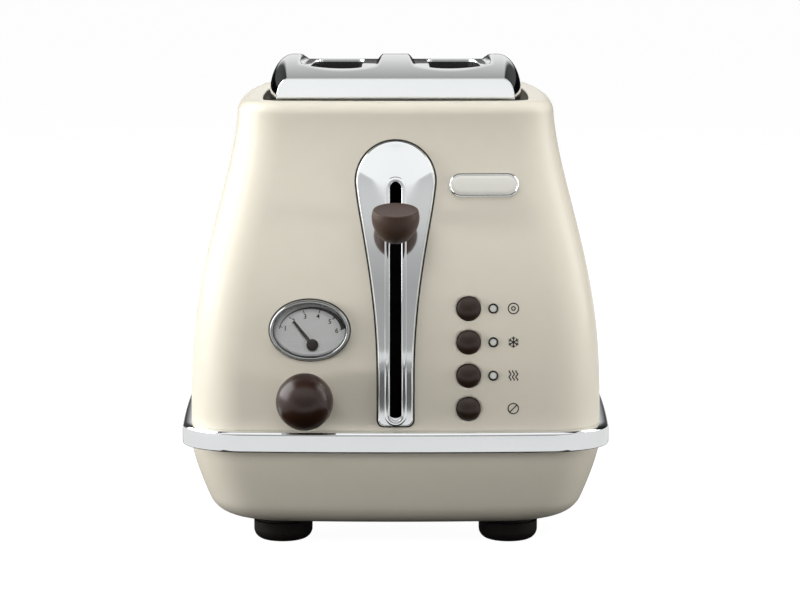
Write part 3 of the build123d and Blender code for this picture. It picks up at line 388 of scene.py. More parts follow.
def belt_shape():
    """The belt: an upright face with a tight round at its foot, a slow bend that tips back 12 degrees,
    a bevel at 36 degrees and a low roof that runs to the bell."""
    slow, tight = 3.0, 0.5
    flat = [(0.0, belt_bottom + tight + share * 7.2) for share in (0.25, 0.5, 0.75)]
    profile = np.vstack([
        [(-belt_ring_depth, belt_bottom + 0.4), (-6.0, belt_bottom)],
        ring_points((-tight, belt_bottom + tight), tight, -90, 0, 6),
        flat,
        ring_points((-slow, 61.85), slow, 0, 12, 5),
        ring_points((-0.55902, 62.37), tight, 16, 36, 4),
        ring_points((-1.0245, 63.01), tight, 36, 80, 5),
        [(-belt_proud + 0.1, 63.75), (-belt_proud - 1.2, 63.8)],
        [(-belt_ring_depth, belt_bottom + belt_height)]])
    points = carried(belt_half_width, belt_half_length, belt_corner, *profile.T, ends=(40, 30), corners=18,
                     sides=40)
    return grid(points, loop_rows=True, loop_columns=True)


def bowl_profile():
    """The bowl from its top down: drawn in by 13.5 mm of the share of its depth to the power 1.3,
    then an 18 mm round that touches the wall and the floor. Returns insets and heights, top first."""
    depth = belt_bottom - bowl_floor
    lean = math.atan(1.3 * bowl_inset / depth * 0.9)
    centre_height = bowl_floor + bowl_round
    touch = centre_height - bowl_round * math.sin(lean)
    wall = np.linspace(belt_bottom, touch, 22)
    inset = bowl_inset * ((belt_bottom - wall) / depth) ** 1.3
    bend = np.linspace(lean, math.pi / 2, 12)[1:]
    round_inset = inset[-1] + bowl_round * (math.cos(lean) - np.cos(bend))
    round_height = centre_height - bowl_round * np.sin(bend)
    return np.concatenate([inset, round_inset]), np.concatenate([wall, round_height])


def bowl_inset_at(height):
    """The bowl's inset at any height, from its profile."""
    inset, heights = bowl_profile()
    return np.interp(height, heights[::-1], inset[::-1])


def bowl_back(side, height):
    """The bowl's back surface: its drawn-in end less the bow of a shallow arc."""
    inset = bowl_inset_at(height)
    return middle + shell_half_length - inset - bow(side, inset)


def bowl_shape():
    """The bowl with its floor, and the window for the tray in its back."""
    inset, height = bowl_profile()
    levels = np.unique(np.concatenate([height, [tray_low, tray_high]]))[::-1]
    levels = np.append(levels[levels > bowl_floor + 0.02], bowl_floor)
    insets = np.append(bowl_inset_at(levels[:-1]), inset[-1])
    points = carried(shell_half - insets, shell_half_length - insets, shell_corner_foot, 0, levels,
                     ends=(30, 40))
    opening_x, opening_y = 0.45, 0.66
    inner = points[-1:] * [opening_x, opening_y, 1] + [0, middle * (1 - opening_y), 0]
    shape = grid(np.vstack([points, inner]), loop_columns=True)
    half = tray_half + 2 * tray_gap

    def inside(p):
        across = np.abs(p[:, 0]) < half
        return across & (p[:, 2] > tray_low) & (p[:, 2] < tray_high) & (p[:, 1] > middle)

    def snap(p):
        side = np.where(np.abs(np.abs(p[:, 0]) - half) < 3, np.sign(p[:, 0]) * half, p[:, 0])
        return spots(side, bowl_back(side, p[:, 2]), p[:, 2])
    return without(shape, inside, snap)


def tray_panel_shape():
    """The tray's back panel: the bowl's back surface, a little smaller than its window."""
    side = np.linspace(-tray_half - tray_gap, tray_half + tray_gap, 60)[None]
    height = np.linspace(tray_low + tray_gap, tray_high - tray_gap, 16)[:, None]
    return grid(spots(side, bowl_back(side, height) + 0.12, height))


# The cover: its middle's height, how far its ends lie inside the belt's and how far they drop, where its
# side rails begin, its half width at the top in the middle and at the ends, and the rails' width
cover_top = 247.0
cover_front = 62.0
cover_end_drop = 9.1
cover_shoulder = 228.0
cover_peak_half = 57.2
cover_peak_half_end = 55.3
cover_flare = 11.6
cover_foot = 212.0
cover_round = 0.35
cover_half_length = belt_half_length - cover_front
trough_centre = 30.5
trough_wall = 10.2 / 5.7
trough_edge = 0.9


def trough_height(side, along):
    """The floor, an arc at the front that flattens to a falling level, and its two leaning walls."""
    across = np.abs(side)
    dish = 241.5 + (across - trough_centre) ** 2 * 0.0051 + (across - trough_centre) * 0.0238
    share = np.clip((along + 78.0) / 45.0, 0, 1)
    fall = 1.2 * np.clip((along + 70.0) / 140.0, 0, 1) + 0.8 * np.clip((along - 75.0) / 31.0, 0, 1) ** 2
    floor = dish + (243.45 - fall - dish) * share * share * (3 - 2 * share)
    ridge_wall = 243.3 + (9.5 - across) * trough_wall
    outer_wall = 244.3 + (across - 51.5) * trough_wall
    return np.maximum(floor, np.maximum(ridge_wall, outer_wall))


def soft_lower(a, b):
    """The lower of two surfaces, with their edge rounded: less where they are within a radius."""
    near = np.clip(1 - np.abs(a - b) / trough_edge, 0, 1)
    return np.minimum(a, b) - near * near * trough_edge / 4


def deck_height(side, along):
    """The deck between the two rails: its crown, or the trough where that is lower."""
    bend = (along / cover_half_length) ** 2
    return soft_lower(cover_top - cover_end_drop * bend, trough_height(side, along))


def cover_outline(bend, shrink):
    """One section of the cover from its right foot to its left foot: skirt, quarter oval, crown,
    quarter oval, skirt. bend is 0 in the middle of its length and 1 at its ends."""
    peak = cover_peak_half + (cover_peak_half_end - cover_peak_half) * bend
    full = cover_top - cover_shoulder - cover_end_drop * bend
    flare = cover_flare * full / (cover_top - cover_shoulder) - shrink
    rise = full - shrink
    quarter = arc(0, 90, 22)
    skirt_z = np.linspace(cover_foot, cover_shoulder, 6)[:-1]
    crown = np.linspace(1, -1, 130)[1:-1]
    right_x = np.concatenate([peak + flare + 0 * skirt_z, peak + flare * np.cos(quarter)])
    right_z = np.concatenate([skirt_z, cover_shoulder + rise * np.sin(quarter)])
    x = np.concatenate([right_x, peak * crown, -right_x[::-1]])
    z = np.concatenate([right_z, cover_shoulder + rise + 0 * crown, right_z[::-1]])
    return x, z


def cover_shape():
    """The crowned cover: sections that drop with the square of the way to the ends, with the two
    troughs pressed in, bread slots cut out, rounded rims and flat end panels."""
    half = cover_half_length
    lengths = np.linspace(-half + cover_round, half - cover_round, 210)
    for end in (-bread_reach, bread_reach):
        lengths[np.argmin(np.abs(lengths - end))] = end
    rims = [(half - cover_round + cover_round * math.sin(a), 1.0, cover_round * (1 - math.cos(a)))
            for a in arc(0, 90, 7)[1:]]
    rows = [(-y, b, s) for y, b, s in rims[::-1]] + [(y, (y / half) ** 2, 0.0) for y in lengths] + rims
    sheet = []
    for along, bend, shrink in rows:
        x, z = cover_outline(bend, shrink)
        z = soft_lower(z, trough_height(x, along) - shrink)
        sheet.append(spots(x, middle + along, z))
    points = np.array(sheet)
    # The front panel's first row is narrow, so that its mirror stays flat right up to the rim
    panels = []
    for row, order, drop in ((points[0], -1, np.append(0, np.linspace(0.002, 1, 7))),
                             (points[-1], 1, np.linspace(0, 1, 8))):
        rim = row[None, 5:-5][:, ::order]
        z = rim[..., 2] + (cover_foot - rim[..., 2]) * drop[:, None]
        panels.append(grid(spots(rim[..., 0], rim[..., 1], z)))

    def from_box(p):
        across, along = np.abs(np.abs(p[:, 0]) - bread_side), np.abs(p[:, 1] - middle)
        box_x, box_y = np.minimum(across, bread_box[0]), np.minimum(along, bread_box[1])
        return box_x, box_y, across - box_x, along - box_y

    def in_slot(p):
        return (np.hypot(*from_box(p)[2:]) < bread_corner) & (p[:, 2] > 230)

    def slot_edge(p):
        box_x, box_y, past_x, past_y = from_box(p)
        grow = bread_corner / np.maximum(np.hypot(past_x, past_y), tiny)
        outer = np.where(np.abs(p[:, 0]) > bread_side, 1, -1)
        x = np.sign(p[:, 0]) * (bread_side + outer * (box_x + past_x * grow))
        along = np.sign(p[:, 1] - middle) * (box_y + past_y * grow)
        return spots(x, middle + along, deck_height(x, along))
    return joined(without(grid(points), in_slot, slot_edge), *panels)


def bread_slot_loop():
    """The bread slot's outline about its own middle: straight sides and round corners, in short steps."""
    signs = ((1, 1, 0), (-1, 1, 90), (-1, -1, 180), (1, -1, 270))
    corners = np.vstack([ring_points((x * bread_box[0], y * bread_box[1]), bread_corner, turn, turn + 90, 8)
                         for x, y, turn in signs])
    steps = []
    for start, end in zip(corners, np.roll(corners, -1, 0)):
        count = max(int(np.hypot(*(end - start)) / 3), 1)
        steps.append(start + (end - start) * np.linspace(0, 1, count, endpoint=False)[:, None])
    return np.vstack(steps)


def bread_slot_walls(rows):
    """Strips down from both bread slots' rims: each row is (inward, down), the deck's height less down."""
    loop = bread_slot_loop()
    out = (loop - np.clip(loop, np.negative(bread_box), bread_box)) / bread_corner
    walls = []
    for side in (-1, 1):
        rim_z = deck_height(side * (bread_side + loop[:, 0]), loop[:, 1])
        strips = []
        for inward, down in rows:
            x, y = (loop - out * inward).T
            strips.append(spots(side * (bread_side + x), middle + y, rim_z - down)[::side])
        walls.append(grid(np.array(strips), loop_columns=True))
    return joined(*walls)


def spring_shape(centre, low, high):
    """The return spring: a wire of half a millimetre's radius carried along a helix of ten turns, 3 mm
    round a centre, from one height to another, and drawn to a point at both ends."""
    coil, wire_radius, turns = 3.0, 0.5, 10
    turn = np.linspace(0, turns * 2 * math.pi, 241)
    rise = (high - low) / turn[-1]
    outward = spots(np.cos(turn), np.sin(turn), 0)
    ahead = spots(-coil * np.sin(turn), coil * np.cos(turn), rise)
    across = np.cross(ahead / np.linalg.norm(ahead, axis=-1, keepdims=True), outward)
    path = np.array([*centre, low]) + outward * coil + np.outer(turn, (0, 0, rise))
    wide = np.full((len(turn), 1, 1), wire_radius)
    wide[0] = wide[-1] = 0.001
    angle = np.linspace(0, 2 * math.pi, 10, endpoint=False)[None, :, None]
    ring = np.cos(angle) * outward[:, None] + np.sin(angle) * across[:, None]
    return grid(path[:, None] + wide * ring, loop_columns=True)


# What sits on the front
def on_bell(rings, raised):
    """Lines of (side, height) points, each raised off the bell's front by its own amount."""
    return np.array([on_front(ring[:, 0], ring[:, 1], up) for ring, up in zip(rings, raised)])


def band(rings, raised):
    """A band through closed loops of (side, height) points on the bell's front."""
    return grid(on_bell(rings, raised), loop_columns=True)


def at_depth(ring, depth):
    """Points of (side, height), flat at a depth behind the belt's front."""
    return spots(ring[:, 0], belt_front + depth, ring[:, 1])


def slot_ring(reach):
    """A straight-sided loop with round ends about the lever's slot, from the middle of its foot."""
    low, high = slot_spine
    flank = np.linspace(low, high, 60)[1:-1]
    return np.vstack([ring_points((0, low), reach, -90, 0, 12), spots(reach, flank),
                      ring_points((0, high), reach, 0, 180, 24), spots(-reach, flank[::-1]),
                      ring_points((0, low), reach, 180, 270, 12)])


def lever_plate_edge():
    """Half of the plate's edge, from its foot up to its head, and each point's share of the way: a foot
    with small corners, flanks that widen, and a round head."""
    foot_height, foot, corner = 66.3, 9.0, 3.2
    head_height, head_radius = 188.0, 20.1
    knots = [66.0, 84.0, 98.0, 115.0, 133.4, 150.0, 160.0, 168.7, 179.0, 185.2]
    widths = [foot, foot, foot + 0.1, 9.9, 11.7, 14.1, 15.8, 17.35, 19.1, 19.9]
    flank = np.linspace(71.0, 184.0, 60)
    half = np.vstack([[(0, foot_height), (3.0, foot_height), (foot - corner, foot_height)],
                      ring_points((foot - corner, foot_height + corner), corner, -90, 0, 9),
                      spots(smooth_through(knots, widths, flank), flank),
                      ring_points((0, head_height), head_radius, -8, 90, 30)])
    steps = np.concatenate([[0], np.cumsum(np.hypot(*np.diff(half, axis=0).T))])
    return half, steps / steps[-1]


def plate_relief(ring):
    """How far the plate stands off the bell: a little more as it climbs, and its head falls away above
    a crease that is sharp at its ends and fades in the middle."""
    side, height = np.abs(ring[:, 0]), ring[:, 1]
    crease = 188.5 + (np.maximum(side, 9.0) - 10.1) * 0.553
    blend = 0.2 + 0.55 * np.clip(12.5 - side, 0, 12) ** 1.1
    over = blend * np.logaddexp(0, (height - crease) / blend)
    body = 2.0 + 1.0 * np.clip((height - 120) / 68, 0, 1.3)
    return np.maximum(body - 0.125 * over, 0.45)


def lever_plate_shape():
    """The plate between its edge and the bead: rings go in from the edge, round it over and crown it."""
    half, share = lever_plate_edge()
    even = np.linspace(0, 1, 150)
    outer = spots(*[np.interp(even, share, column) for column in half.T])
    reach = slot_half_width + bead_width - 0.8
    spine = np.clip(outer[:, 1], slot_low + 1.0 + reach, slot_spine[1])
    centre = spots(0, spine)
    aim = outer - centre
    inner = centre + aim / np.maximum(np.hypot(*aim.T)[:, None], tiny) * reach
    outer, inner = both_sides(outer), both_sides(inner)
    width = np.hypot(*(outer - inner).T)
    edge_round, sunk = 1.1, 0.3
    rings, raised = [outer], [-sunk]
    for a in arc(0, 90, 8):
        rings.append(outer + (inner - outer) * (edge_round * (1 - math.cos(a)) / width)[:, None])
        raised.append((plate_relief(rings[-1]) + sunk) * math.sin(a) - sunk)
    first = edge_round / width
    for t in np.concatenate([np.linspace(0, 0.7, 12)[1:], np.linspace(0.7, 1, 12)[1:]]):
        rings.append(outer + (inner - outer) * (first + (1 - first) * t)[:, None])
        raised.append(plate_relief(rings[-1]))
    return band(rings, raised)


def bead_shape():
    """The flat bead that frames the slot: small rounds at its edges, and an inner wall that goes in
    through the bell. Each step is (beyond the slot, off the bell)."""
    wide, up = np.array([(2.9, 0.2), (2.9, 3.1), (2.8, 3.4), (2.5, 3.56), (2.0, 3.62), (1.55, 3.64),
                         (1.1, 3.62), (0.6, 3.52), (0.35, 3.3), (0.25, 3.0), (0.25, -1.6)]).T
    return band([slot_ring(slot_half_width + w) for w in wide], up)


def oval(grow, share=1.0):
    """The gauge's oval, grown by some millimetres and then shrunk to a share of itself."""
    angle = np.linspace(0, 2 * math.pi, 128, endpoint=False)
    ring = spots((gauge_half_width + grow) * np.cos(angle), (gauge_half_height + grow) * np.sin(angle))
    return np.array([gauge_side, gauge_height]) + ring * share


def gauge_bezel_shape():
    """The oval ring: a half-round band, then a sleeve that goes back to the dial."""
    turn = arc(0, 180, 17)
    rings = [oval(0)] + [oval(gauge_band / 2 * (math.cos(a) - 1)) for a in turn]
    points = on_bell(rings, np.append(-0.2, 1.1 + 1.9 * np.sin(turn)))
    return grid(np.vstack([points, at_depth(rings[-1], dial_depth)[None]]), loop_columns=True)


def gauge_glass_shape():
    """The window: an oval skin that is 0.8 mm fuller in its middle."""
    share = np.linspace(0, 1, 10)
    return band([oval(-gauge_band, max(s, 1e-4)) for s in share], 1.0 + 0.8 * (1 - share * share))


def dial_shape():
    """The dial's flat oval face."""
    rings = [oval(-gauge_band + 0.05, share) for share in (1e-4, 0.35, 0.7, 1.0)]
    return grid(np.array([at_depth(ring, dial_depth - 0.1) for ring in rings]), loop_columns=True)


def stroke(path, width, depth=None):
    """A flat line of some width along a path of (side, height) points, on the bell or at a depth."""
    ahead = np.gradient(path, axis=0)
    ahead /= np.maximum(np.hypot(*ahead.T)[:, None], 1e-9)
    aside = spots(-ahead[:, 1], ahead[:, 0]) * np.broadcast_to(width, len(path))[:, None] / 2
    edges = (path + aside, path, path - aside)
    if depth is None:
        return grid(on_bell(edges, [ink_lift] * 3))
    return grid(np.array([at_depth(edge, depth) for edge in edges]))


def sign_shapes():
    """Plain signs beside the buttons: a bun, a snowflake, rising waves and a crossed ring."""
    bun, flake, waves, stop = (np.array([sign_side, z]) for z in button_heights)
    ring, arm, twig = 2.6, 2.8, 1.1
    paths = [ring_points(bun, ring), ring_points(bun, 0.9), ring_points(stop, ring),
             line_points(stop - 1.7, stop + 1.7)]
    twigs = []
    for angle in (90, 150, 210):
        paths.append(line_points(flake - arm * unit(angle), flake + arm * unit(angle)))
        for end in (-1, 1):
            tip = flake + end * 1.7 * unit(angle)
            twigs += [line_points(tip, tip + end * twig * unit(angle + turn)) for turn in (-60, 60)]
    up = np.linspace(-ring, ring, 24)
    paths += [waves + spots(shift + 0.45 * np.sin(up * 2.2), up) for shift in (-1.7, 0, 1.7)]
    return joined(*[stroke(path, sign_width) for path in paths],
                  *[stroke(path, 0.8 * sign_width) for path in twigs])


def dial_marks():
    """The dial's scale: an arc that gets thicker to the right, and a tick beside each number."""
    share = np.linspace(0, 1, 60)
    angle = np.radians(172 - 164 * share)
    middle_side, half_width, half_height = -42.3, 16.2, 12.3
    path = spots(middle_side + half_width * np.cos(angle), 112.7 + half_height * np.sin(angle))
    shapes = [stroke(path, 0.3 + 2.1 * share ** 1.5, ink_depth)]
    hub = np.array([middle_side, 109.5])
    for number, place in enumerate(np.array(number_places)):
        step = (place - hub) / np.hypot(*(place - hub))
        root = place + step * (1.5 + 0.1 * number)
        shapes.append(stroke(line_points(root, root + 1.6 * step), 0.28 + 0.06 * number, ink_depth))
    return joined(*shapes)


def figure(text, place, look):
    """One plain number on the dial: type made a mesh and then moved to its place."""
    curve = bpy.data.curves.new("figure", "FONT")
    curve.body = text
    curve.size = number_size * mm
    curve.offset = 0.06 * mm
    curve.align_x = curve.align_y = "CENTER"
    holder = bpy.data.objects.new("figure", curve)
    bpy.context.scene.collection.objects.link(holder)
    bpy.context.view_layer.update()
    mesh = bpy.data.meshes.new_from_object(holder.evaluated_get(bpy.context.evaluated_depsgraph_get()))
    bpy.data.objects.remove(holder)
    flat = np.zeros(len(mesh.vertices) * 3)
    mesh.vertices.foreach_get("co", flat)
    flat = flat.reshape(-1, 3)[:, :2] / mm + place
    mesh.vertices.foreach_set("co", (at_depth(flat, ink_depth) * mm).ravel())
    mesh.materials.clear()
    mesh.materials.append(look)
    piece = bpy.data.objects.new(f"dial_number_{text}", mesh)
    bpy.context.scene.collection.objects.link(piece)
    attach(piece, "housing")


def needle_shape():
    """The pointer, a tapered blade with a shallow ridge, and its domed hub."""
    lean, length, hub_radius, back = 38.2, 15.0, 3.0, belt_front + 11.9
    along = np.linspace(-0.5, length, 16)[:, None, None]
    across, up = np.array([(1, 0.0), (1, 0.35), (0, 0.5), (-1, 0.35), (-1, 0.0)]).T
    half = 0.95 - 0.35 * along / length
    place = [pivot_side, pivot_height] + along * unit(90 + lean) + across[:, None] * half * unit(lean)
    blade = grid(spots(place[..., 0], back - up, place[..., 1]))
    dome = [(hub_radius * math.sin(a), back - 0.9 * math.cos(a)) for a in arc(0, 90, 10)]
    return joined(blade, turned(dome + [(hub_radius, back + 0.1)], (pivot_side, 0, pivot_height), 40))


def shadow_strip_shape():
    """Painted shade: dark strips round the lever plate and the gauge, a little wider than each, that stand in
    for the shadow at their edges.
    """
    whole = both_sides(lever_plate_edge()[0])
    ahead = np.roll(whole, -1, 0) - np.roll(whole, 1, 0)
    out = spots(ahead[:, 1], -ahead[:, 0]) / np.hypot(*ahead.T)[:, None]
    raised = (-0.1, 0.3, 0.35)
    return joined(band([whole + out * grow for grow in (0.6, 0.55, -1.0)], raised),
                  band([oval(grow) for grow in (0.5, 0.45, -0.6)], raised))


def belt_shadow_strip_shape():
    """Painted shade under the belt: a thin dark strip round the top of the bowl, in place of the belt's
    shadow there.
    """
    offset, rise = np.array([(0.05, -1.0), (0.5, -0.8), (0.5, 0.2)]).T
    return grid(carried(shell_half, shell_half_length, shell_corner_foot, offset, belt_bottom + rise,
                        ends=(40, 30), corners=14, sides=40), loop_columns=True)


def button_profile(height):
    """A shallow dome with a soft edge, then a straight side that goes in through the bell."""
    face = float(front_y(button_side, height))
    crown = face - button_proud
    radius = np.linspace(0, button_radius - button_edge, 16)
    dome = crown + button_dome - np.sqrt(button_dome ** 2 - radius ** 2)
    edge = ring_points((radius[-1], dome[-1] + button_edge + 0.12), button_edge, -65, 0, 6)
    side = [(button_radius, face + 1.0), (button_radius, face + 2.6)]
    return np.vstack([spots(radius, dome), edge, side])


def knob_profile():
    """A ball with a flat back, then the collar."""
    centre = belt_front + knob_radius - knob_reach
    back = belt_front + 3.0
    end = 90 - math.degrees(math.acos((back - centre) / knob_radius))
    collar = [(7.2, back + 0.15), (7.0, back + 0.4), (7.0, back + 1.5)]
    return np.vstack([ring_points((0, centre), knob_radius, -90, end, 60), collar])


def lever_knob_profile():
    """A small bowl: a dished top inside a tight rim, and a side that swells and draws in to a round
    foot, smooth through its knots."""
    dish, rim = 10.6, 0.7
    inner = np.linspace(0, dish, 12)
    turn = np.linspace(0, 1, 44)
    knots = [0.0, 0.08, 0.16, 0.28, 0.44, 0.62, 0.74, 0.84, 0.93, 1.0]
    radius = smooth_through(knots, [11.33, 11.66, 11.8, 11.5, 10.5, 8.5, 6.6, 4.6, 2.3, 0.0], turn)
    down = smooth_through(knots, [-0.95, -2.3, -3.9, -6.5, -9.6, -13.0, -14.9, -16.1, -16.9, -17.2], turn)
    return np.vstack([spots(inner, 0.3 * (inner / dish) ** 4 - 0.3),
                      ring_points((dish, -rim), rim, 78, 10, 6), spots(radius, down)])


def lamp_ring_profile(height):
    """A small half-round ring on the bell's front."""
    face = float(front_y(lens_side, height))
    outer, proud = 2.6, 0.8
    centre, reach = (lens_radius + outer) / 2, (outer - lens_radius) / 2
    rounds = [(centre + reach * math.cos(a), face - proud * math.sin(a)) for a in arc(0, 180, 11)]
    return [(outer, face + 0.4)] + rounds + [(lens_radius, face + 2.0)]


def badge_shape(rim):
    """Loops with round ends, each grown and raised off the bell by its own amount."""
    height, half = 185.95, 5.85
    left, right = 26.9 + half, 62.2 - half
    across = np.linspace(right, left, 16)[1:-1]
    rings = []
    for grow, up in rim:
        reach = half + grow
        rings.append(np.vstack([
            ring_points((right, height), reach, -90, 90, 24), spots(across, height + reach),
            ring_points((left, height), reach, 90, 270, 24), spots(across[::-1], height - reach)]))
    return band(rings, [up for grow, up in rim])


# Materials
def linear(hex_colour):
    """A hex sRGB colour as linear red, green, blue and alpha."""
    values = [int(hex_colour[i:i + 2], 16) / 255 for i in (1, 3, 5)]
    return [v / 12.92 if v <= 0.04045 else ((v + 0.055) / 1.055) ** 2.4 for v in values] + [1.0]


def add(tree, kind, inputs=None, **settings):
    """Adds one node: its settings by name, its inputs by value, by the socket that feeds them, or by the
    node whose first output does."""
    made = tree.nodes.new(kind)
    for name, value in settings.items():
        setattr(made, name, value)
    for key, value in (inputs or {}).items():
        if isinstance(value, bpy.types.Node):
            value = value.outputs[0]
        if isinstance(value, bpy.types.NodeSocket):
            tree.links.new(value, made.inputs[key])
        else:
            made.inputs[key].default_value = value
    return made


def start(name):
    """An empty material and its tree of nodes."""
    look = bpy.data.materials.new(name)
    look.use_nodes = True
    look.node_tree.nodes.clear()
    return look, look.node_tree


def object_place(tree):
    """Object coordinates, so that each pattern has a real size."""
    return add(tree, "ShaderNodeTexCoord").outputs["Object"]


def ended(look, shader):
    """The material, once its shader is on its surface."""
    add(look.node_tree, "ShaderNodeOutputMaterial", {"Surface": shader})
    return look


def mixed(tree, share, low, high):
    """A colour between two hex colours; 6 and 7 are the node's colour inputs, 2 its colour output."""
    mix = add(tree, "ShaderNodeMix", {0: share, 6: linear(low), 7: linear(high)}, data_type="RGBA")
    return mix.outputs[2]


def finish(name, low, high, grain, rough, metallic=0.0, bump=0.0, coat=0.0, coat_rough=0.05, specular=0.5,
           detail=3.0):
    """A surface whose colour drifts between two tones over its grain, in millimetres, whose roughness
    drifts between two values, and whose relief is a share of a millimetre."""
    look, tree = start(name)
    place = object_place(tree)
    tone = add(tree, "ShaderNodeTexNoise", {"Vector": place, "Scale": 1000 / grain, "Detail": detail})
    patch = add(tree, "ShaderNodeTexNoise", {"Vector": place, "Scale": 1000 / (grain * 5.3), "Detail": 2.0})
    shine = add(tree, "ShaderNodeMapRange", {"Value": patch, "From Min": 0.3, "From Max": 0.7,
                                            "To Min": rough[0], "To Max": rough[1]})
    inputs = {"Base Color": mixed(tree, tone, low, high), "Roughness": shine,
              "Metallic": metallic, "Coat Weight": coat, "Coat Roughness": coat_rough,
              "Specular IOR Level": specular}
    if bump:
        relief = add(tree, "ShaderNodeBump", {"Height": tone, "Distance": bump * mm})
        inputs["Normal"] = relief
    return ended(look, add(tree, "ShaderNodeBsdfPrincipled", inputs))


# Sprayed and baked enamel on pressed steel: even colour under a hard gloss, with a faint orange peel
enamel = finish("baked_cream_enamel", "#CCC6B7", "#D0CABC", 9.0, (0.34, 0.4), bump=0.004, coat=0.2,
                coat_rough=0.1, specular=0.2)
# The same paint on the moulded bowl, softer in its gloss; its colour a shade deeper is painted shade for the
# bowl's downward-leaning wall
shaded_bowl_enamel = finish("painted_stone_moulding", "#C8C2B3", "#CCC6B8", 9.0, (0.36, 0.42), bump=0.004, coat=0.25,
                     coat_rough=0.12, specular=0.2)
# Chrome on polished steel: a mirror with a slow waver and the lightest haze
chrome = finish("bright_chrome_plate", "#ECEFF0", "#F3F5F5", 30.0, (0.05, 0.09), metallic=1.0, bump=0.01)
# A copy of the chrome on the gauge's ring, a little more hazed, whose darker colour is painted shade for the
# dim reflection in the ring
shaded_chrome = finish("smoky_chrome_plate", "#A6A8A8", "#B0B2B2", 12.0, (0.12, 0.18), metallic=1.0, bump=0.01)
# Black nickel on the small lamp rings: a dark mirror
black_nickel = finish("black_nickel_plate", "#3A3A39", "#454544", 6.0, (0.2, 0.3), metallic=1.0, bump=0.005)
# Satin nickel on the badge's bare field: brushed soft, so it is evenly pale
satin = finish("satin_nickel_plate", "#F4F2EA", "#FAF8F1", 2.0, (0.38, 0.46), metallic=1.0, bump=0.004)
# Phenolic moulding, polished: dark brown with a slight cloud in it
brown = finish("polished_brown_phenolic", "#1F1009", "#28150C", 7.0, (0.24, 0.3), bump=0.005)
# The lever's knob in the same moulding, rubbed to satin by the hand: paler and softer
satin_brown = finish("rubbed_brown_phenolic", "#33241C", "#3D2C23", 7.0, (0.4, 0.48), bump=0.006,
                     specular=0.35)
# The buttons' plastic: the same brown, a little softer in its gloss
button_brown = finish("moulded_brown_abs", "#20130C", "#291A11", 4.0, (0.3, 0.38), bump=0.006)
# Moulded rubber: matt, with a fine dry bloom
rubber = finish("moulded_black_rubber", "#0B0908", "#141110", 1.6, (0.55, 0.7), bump=0.03, specular=0.3)
# Stoved black paint on sheet steel, fine grained; the same black is also painted shade on the strips under
# the belt and round the lever plate and gauge, and on the inside parts seen through the lever slot
black_paint_and_shade = finish("stoved_black_paint", "#0E0E0E", "#171717", 1.2, (0.45, 0.6), bump=0.02)
# Zinc plate: grey, with soft spangles
zinc = finish("zinc_plated_sheet", "#989B9D", "#B4B7B9", 6.0, (0.28, 0.42), metallic=1.0, bump=0.01)
# Drawn steel wire: bright, with fine draw lines
wire = finish("drawn_steel_wire", "#8F9091", "#A9AAAB", 1.0, (0.25, 0.38), metallic=1.0, bump=0.01)
# Machined screws: darker steel, evenly cut
screw_steel = finish("machined_screw_steel", "#6E7072", "#858789", 0.8, (0.3, 0.42), metallic=1.0, bump=0.01)
# Mica board: pressed flakes, tan with silvery islands
mica = finish("pressed_mica_board", "#8D7C55", "#C2B48C", 3.2, (0.35, 0.6), bump=0.04, detail=6.0)
# Heater alloy ribbon: browned and dulled by heat
ribbon = finish("oxidised_heater_alloy", "#4A4440", "#6B6259", 5.0, (0.35, 0.5), metallic=1.0, bump=0.01)
# Ground soft iron: dark grey, finely scored
iron = finish("ground_soft_iron", "#55565A", "#6B6C6F", 1.5, (0.35, 0.5), metallic=1.0, bump=0.015)
# Glass-epoxy circuit board under green mask: its weave shows as a faint cloud
board_green = finish("green_solder_mask", "#15402A", "#1E5436", 2.5, (0.3, 0.45), bump=0.01)
# Moulded black nylon: low sheen over a spark-worn skin
black_nylon = finish("moulded_black_nylon", "#121212", "#1D1D1D", 1.4, (0.4, 0.55), bump=0.02)
# Acetal gears and glazed terminal block: warm white, waxy
white_acetal = finish("moulded_white_acetal", "#DAD8CF", "#E6E4DC", 3.0, (0.3, 0.42), bump=0.008)
# Painted dial card: white with a soft tooth
dial_paint = finish("printed_dial_card", "#FFFFFF", "#FDFDFC", 2.0, (0.4, 0.55), bump=0.006)
# The needle's matt paint and the printing ink: nearly black, with no shine
needle_paint = finish("matt_needle_paint", "#3B3634", "#474140", 1.0, (0.45, 0.55), bump=0.004)
ink = finish("screen_printed_ink", "#171412", "#211D1A", 0.8, (0.4, 0.5), bump=0.003)
# Frosted acrylic on the lamps, unlit: pale grey under a clear skin
acrylic = finish("frosted_lamp_acrylic", "#D2D3CB", "#DEDFD8", 1.0, (0.15, 0.25), bump=0.01, coat=0.5)


def copper_winding():
    """Varnished copper winding: fine turns across the coil, drawn as coarse as they need to show."""
    look, tree = start("varnished_copper_winding")
    turns = add(tree, "ShaderNodeTexWave", {"Vector": object_place(tree), "Scale": 125.0, "Distortion": 0.6,
                                            "Detail": 1.0}, bands_direction="Z")
    relief = add(tree, "ShaderNodeBump", {"Height": turns.outputs["Fac"], "Distance": 0.15 * mm})
    colour = mixed(tree, turns.outputs["Fac"], "#4A2412", "#A8582E")
    return ended(look, add(tree, "ShaderNodeBsdfPrincipled", {
        "Base Color": colour, "Roughness": 0.3, "Metallic": 0.8, "Coat Weight": 0.5,
        "Normal": relief}))


def clear_glass():
    """The gauge's thin window: it lets light straight through and mirrors a little of the room."""
    look, tree = start("clear_gauge_glass")
    haze = add(tree, "ShaderNodeTexNoise", {"Vector": object_place(tree), "Scale": 120.0, "Detail": 2.0})
    shine = add(tree, "ShaderNodeMapRange", {"Value": haze, "To Min": 0.0, "To Max": 0.05})
    through = add(tree, "ShaderNodeBsdfTransparent", {"Color": linear("#FDFDFD")})
    mirror = add(tree, "ShaderNodeBsdfGlossy", {"Color": (1, 1, 1, 1), "Roughness": shine})
    share = add(tree, "ShaderNodeFresnel", {"IOR": 1.3})
    return ended(look, add(tree, "ShaderNodeMixShader", {
        0: share, 1: through, 2: mirror}))


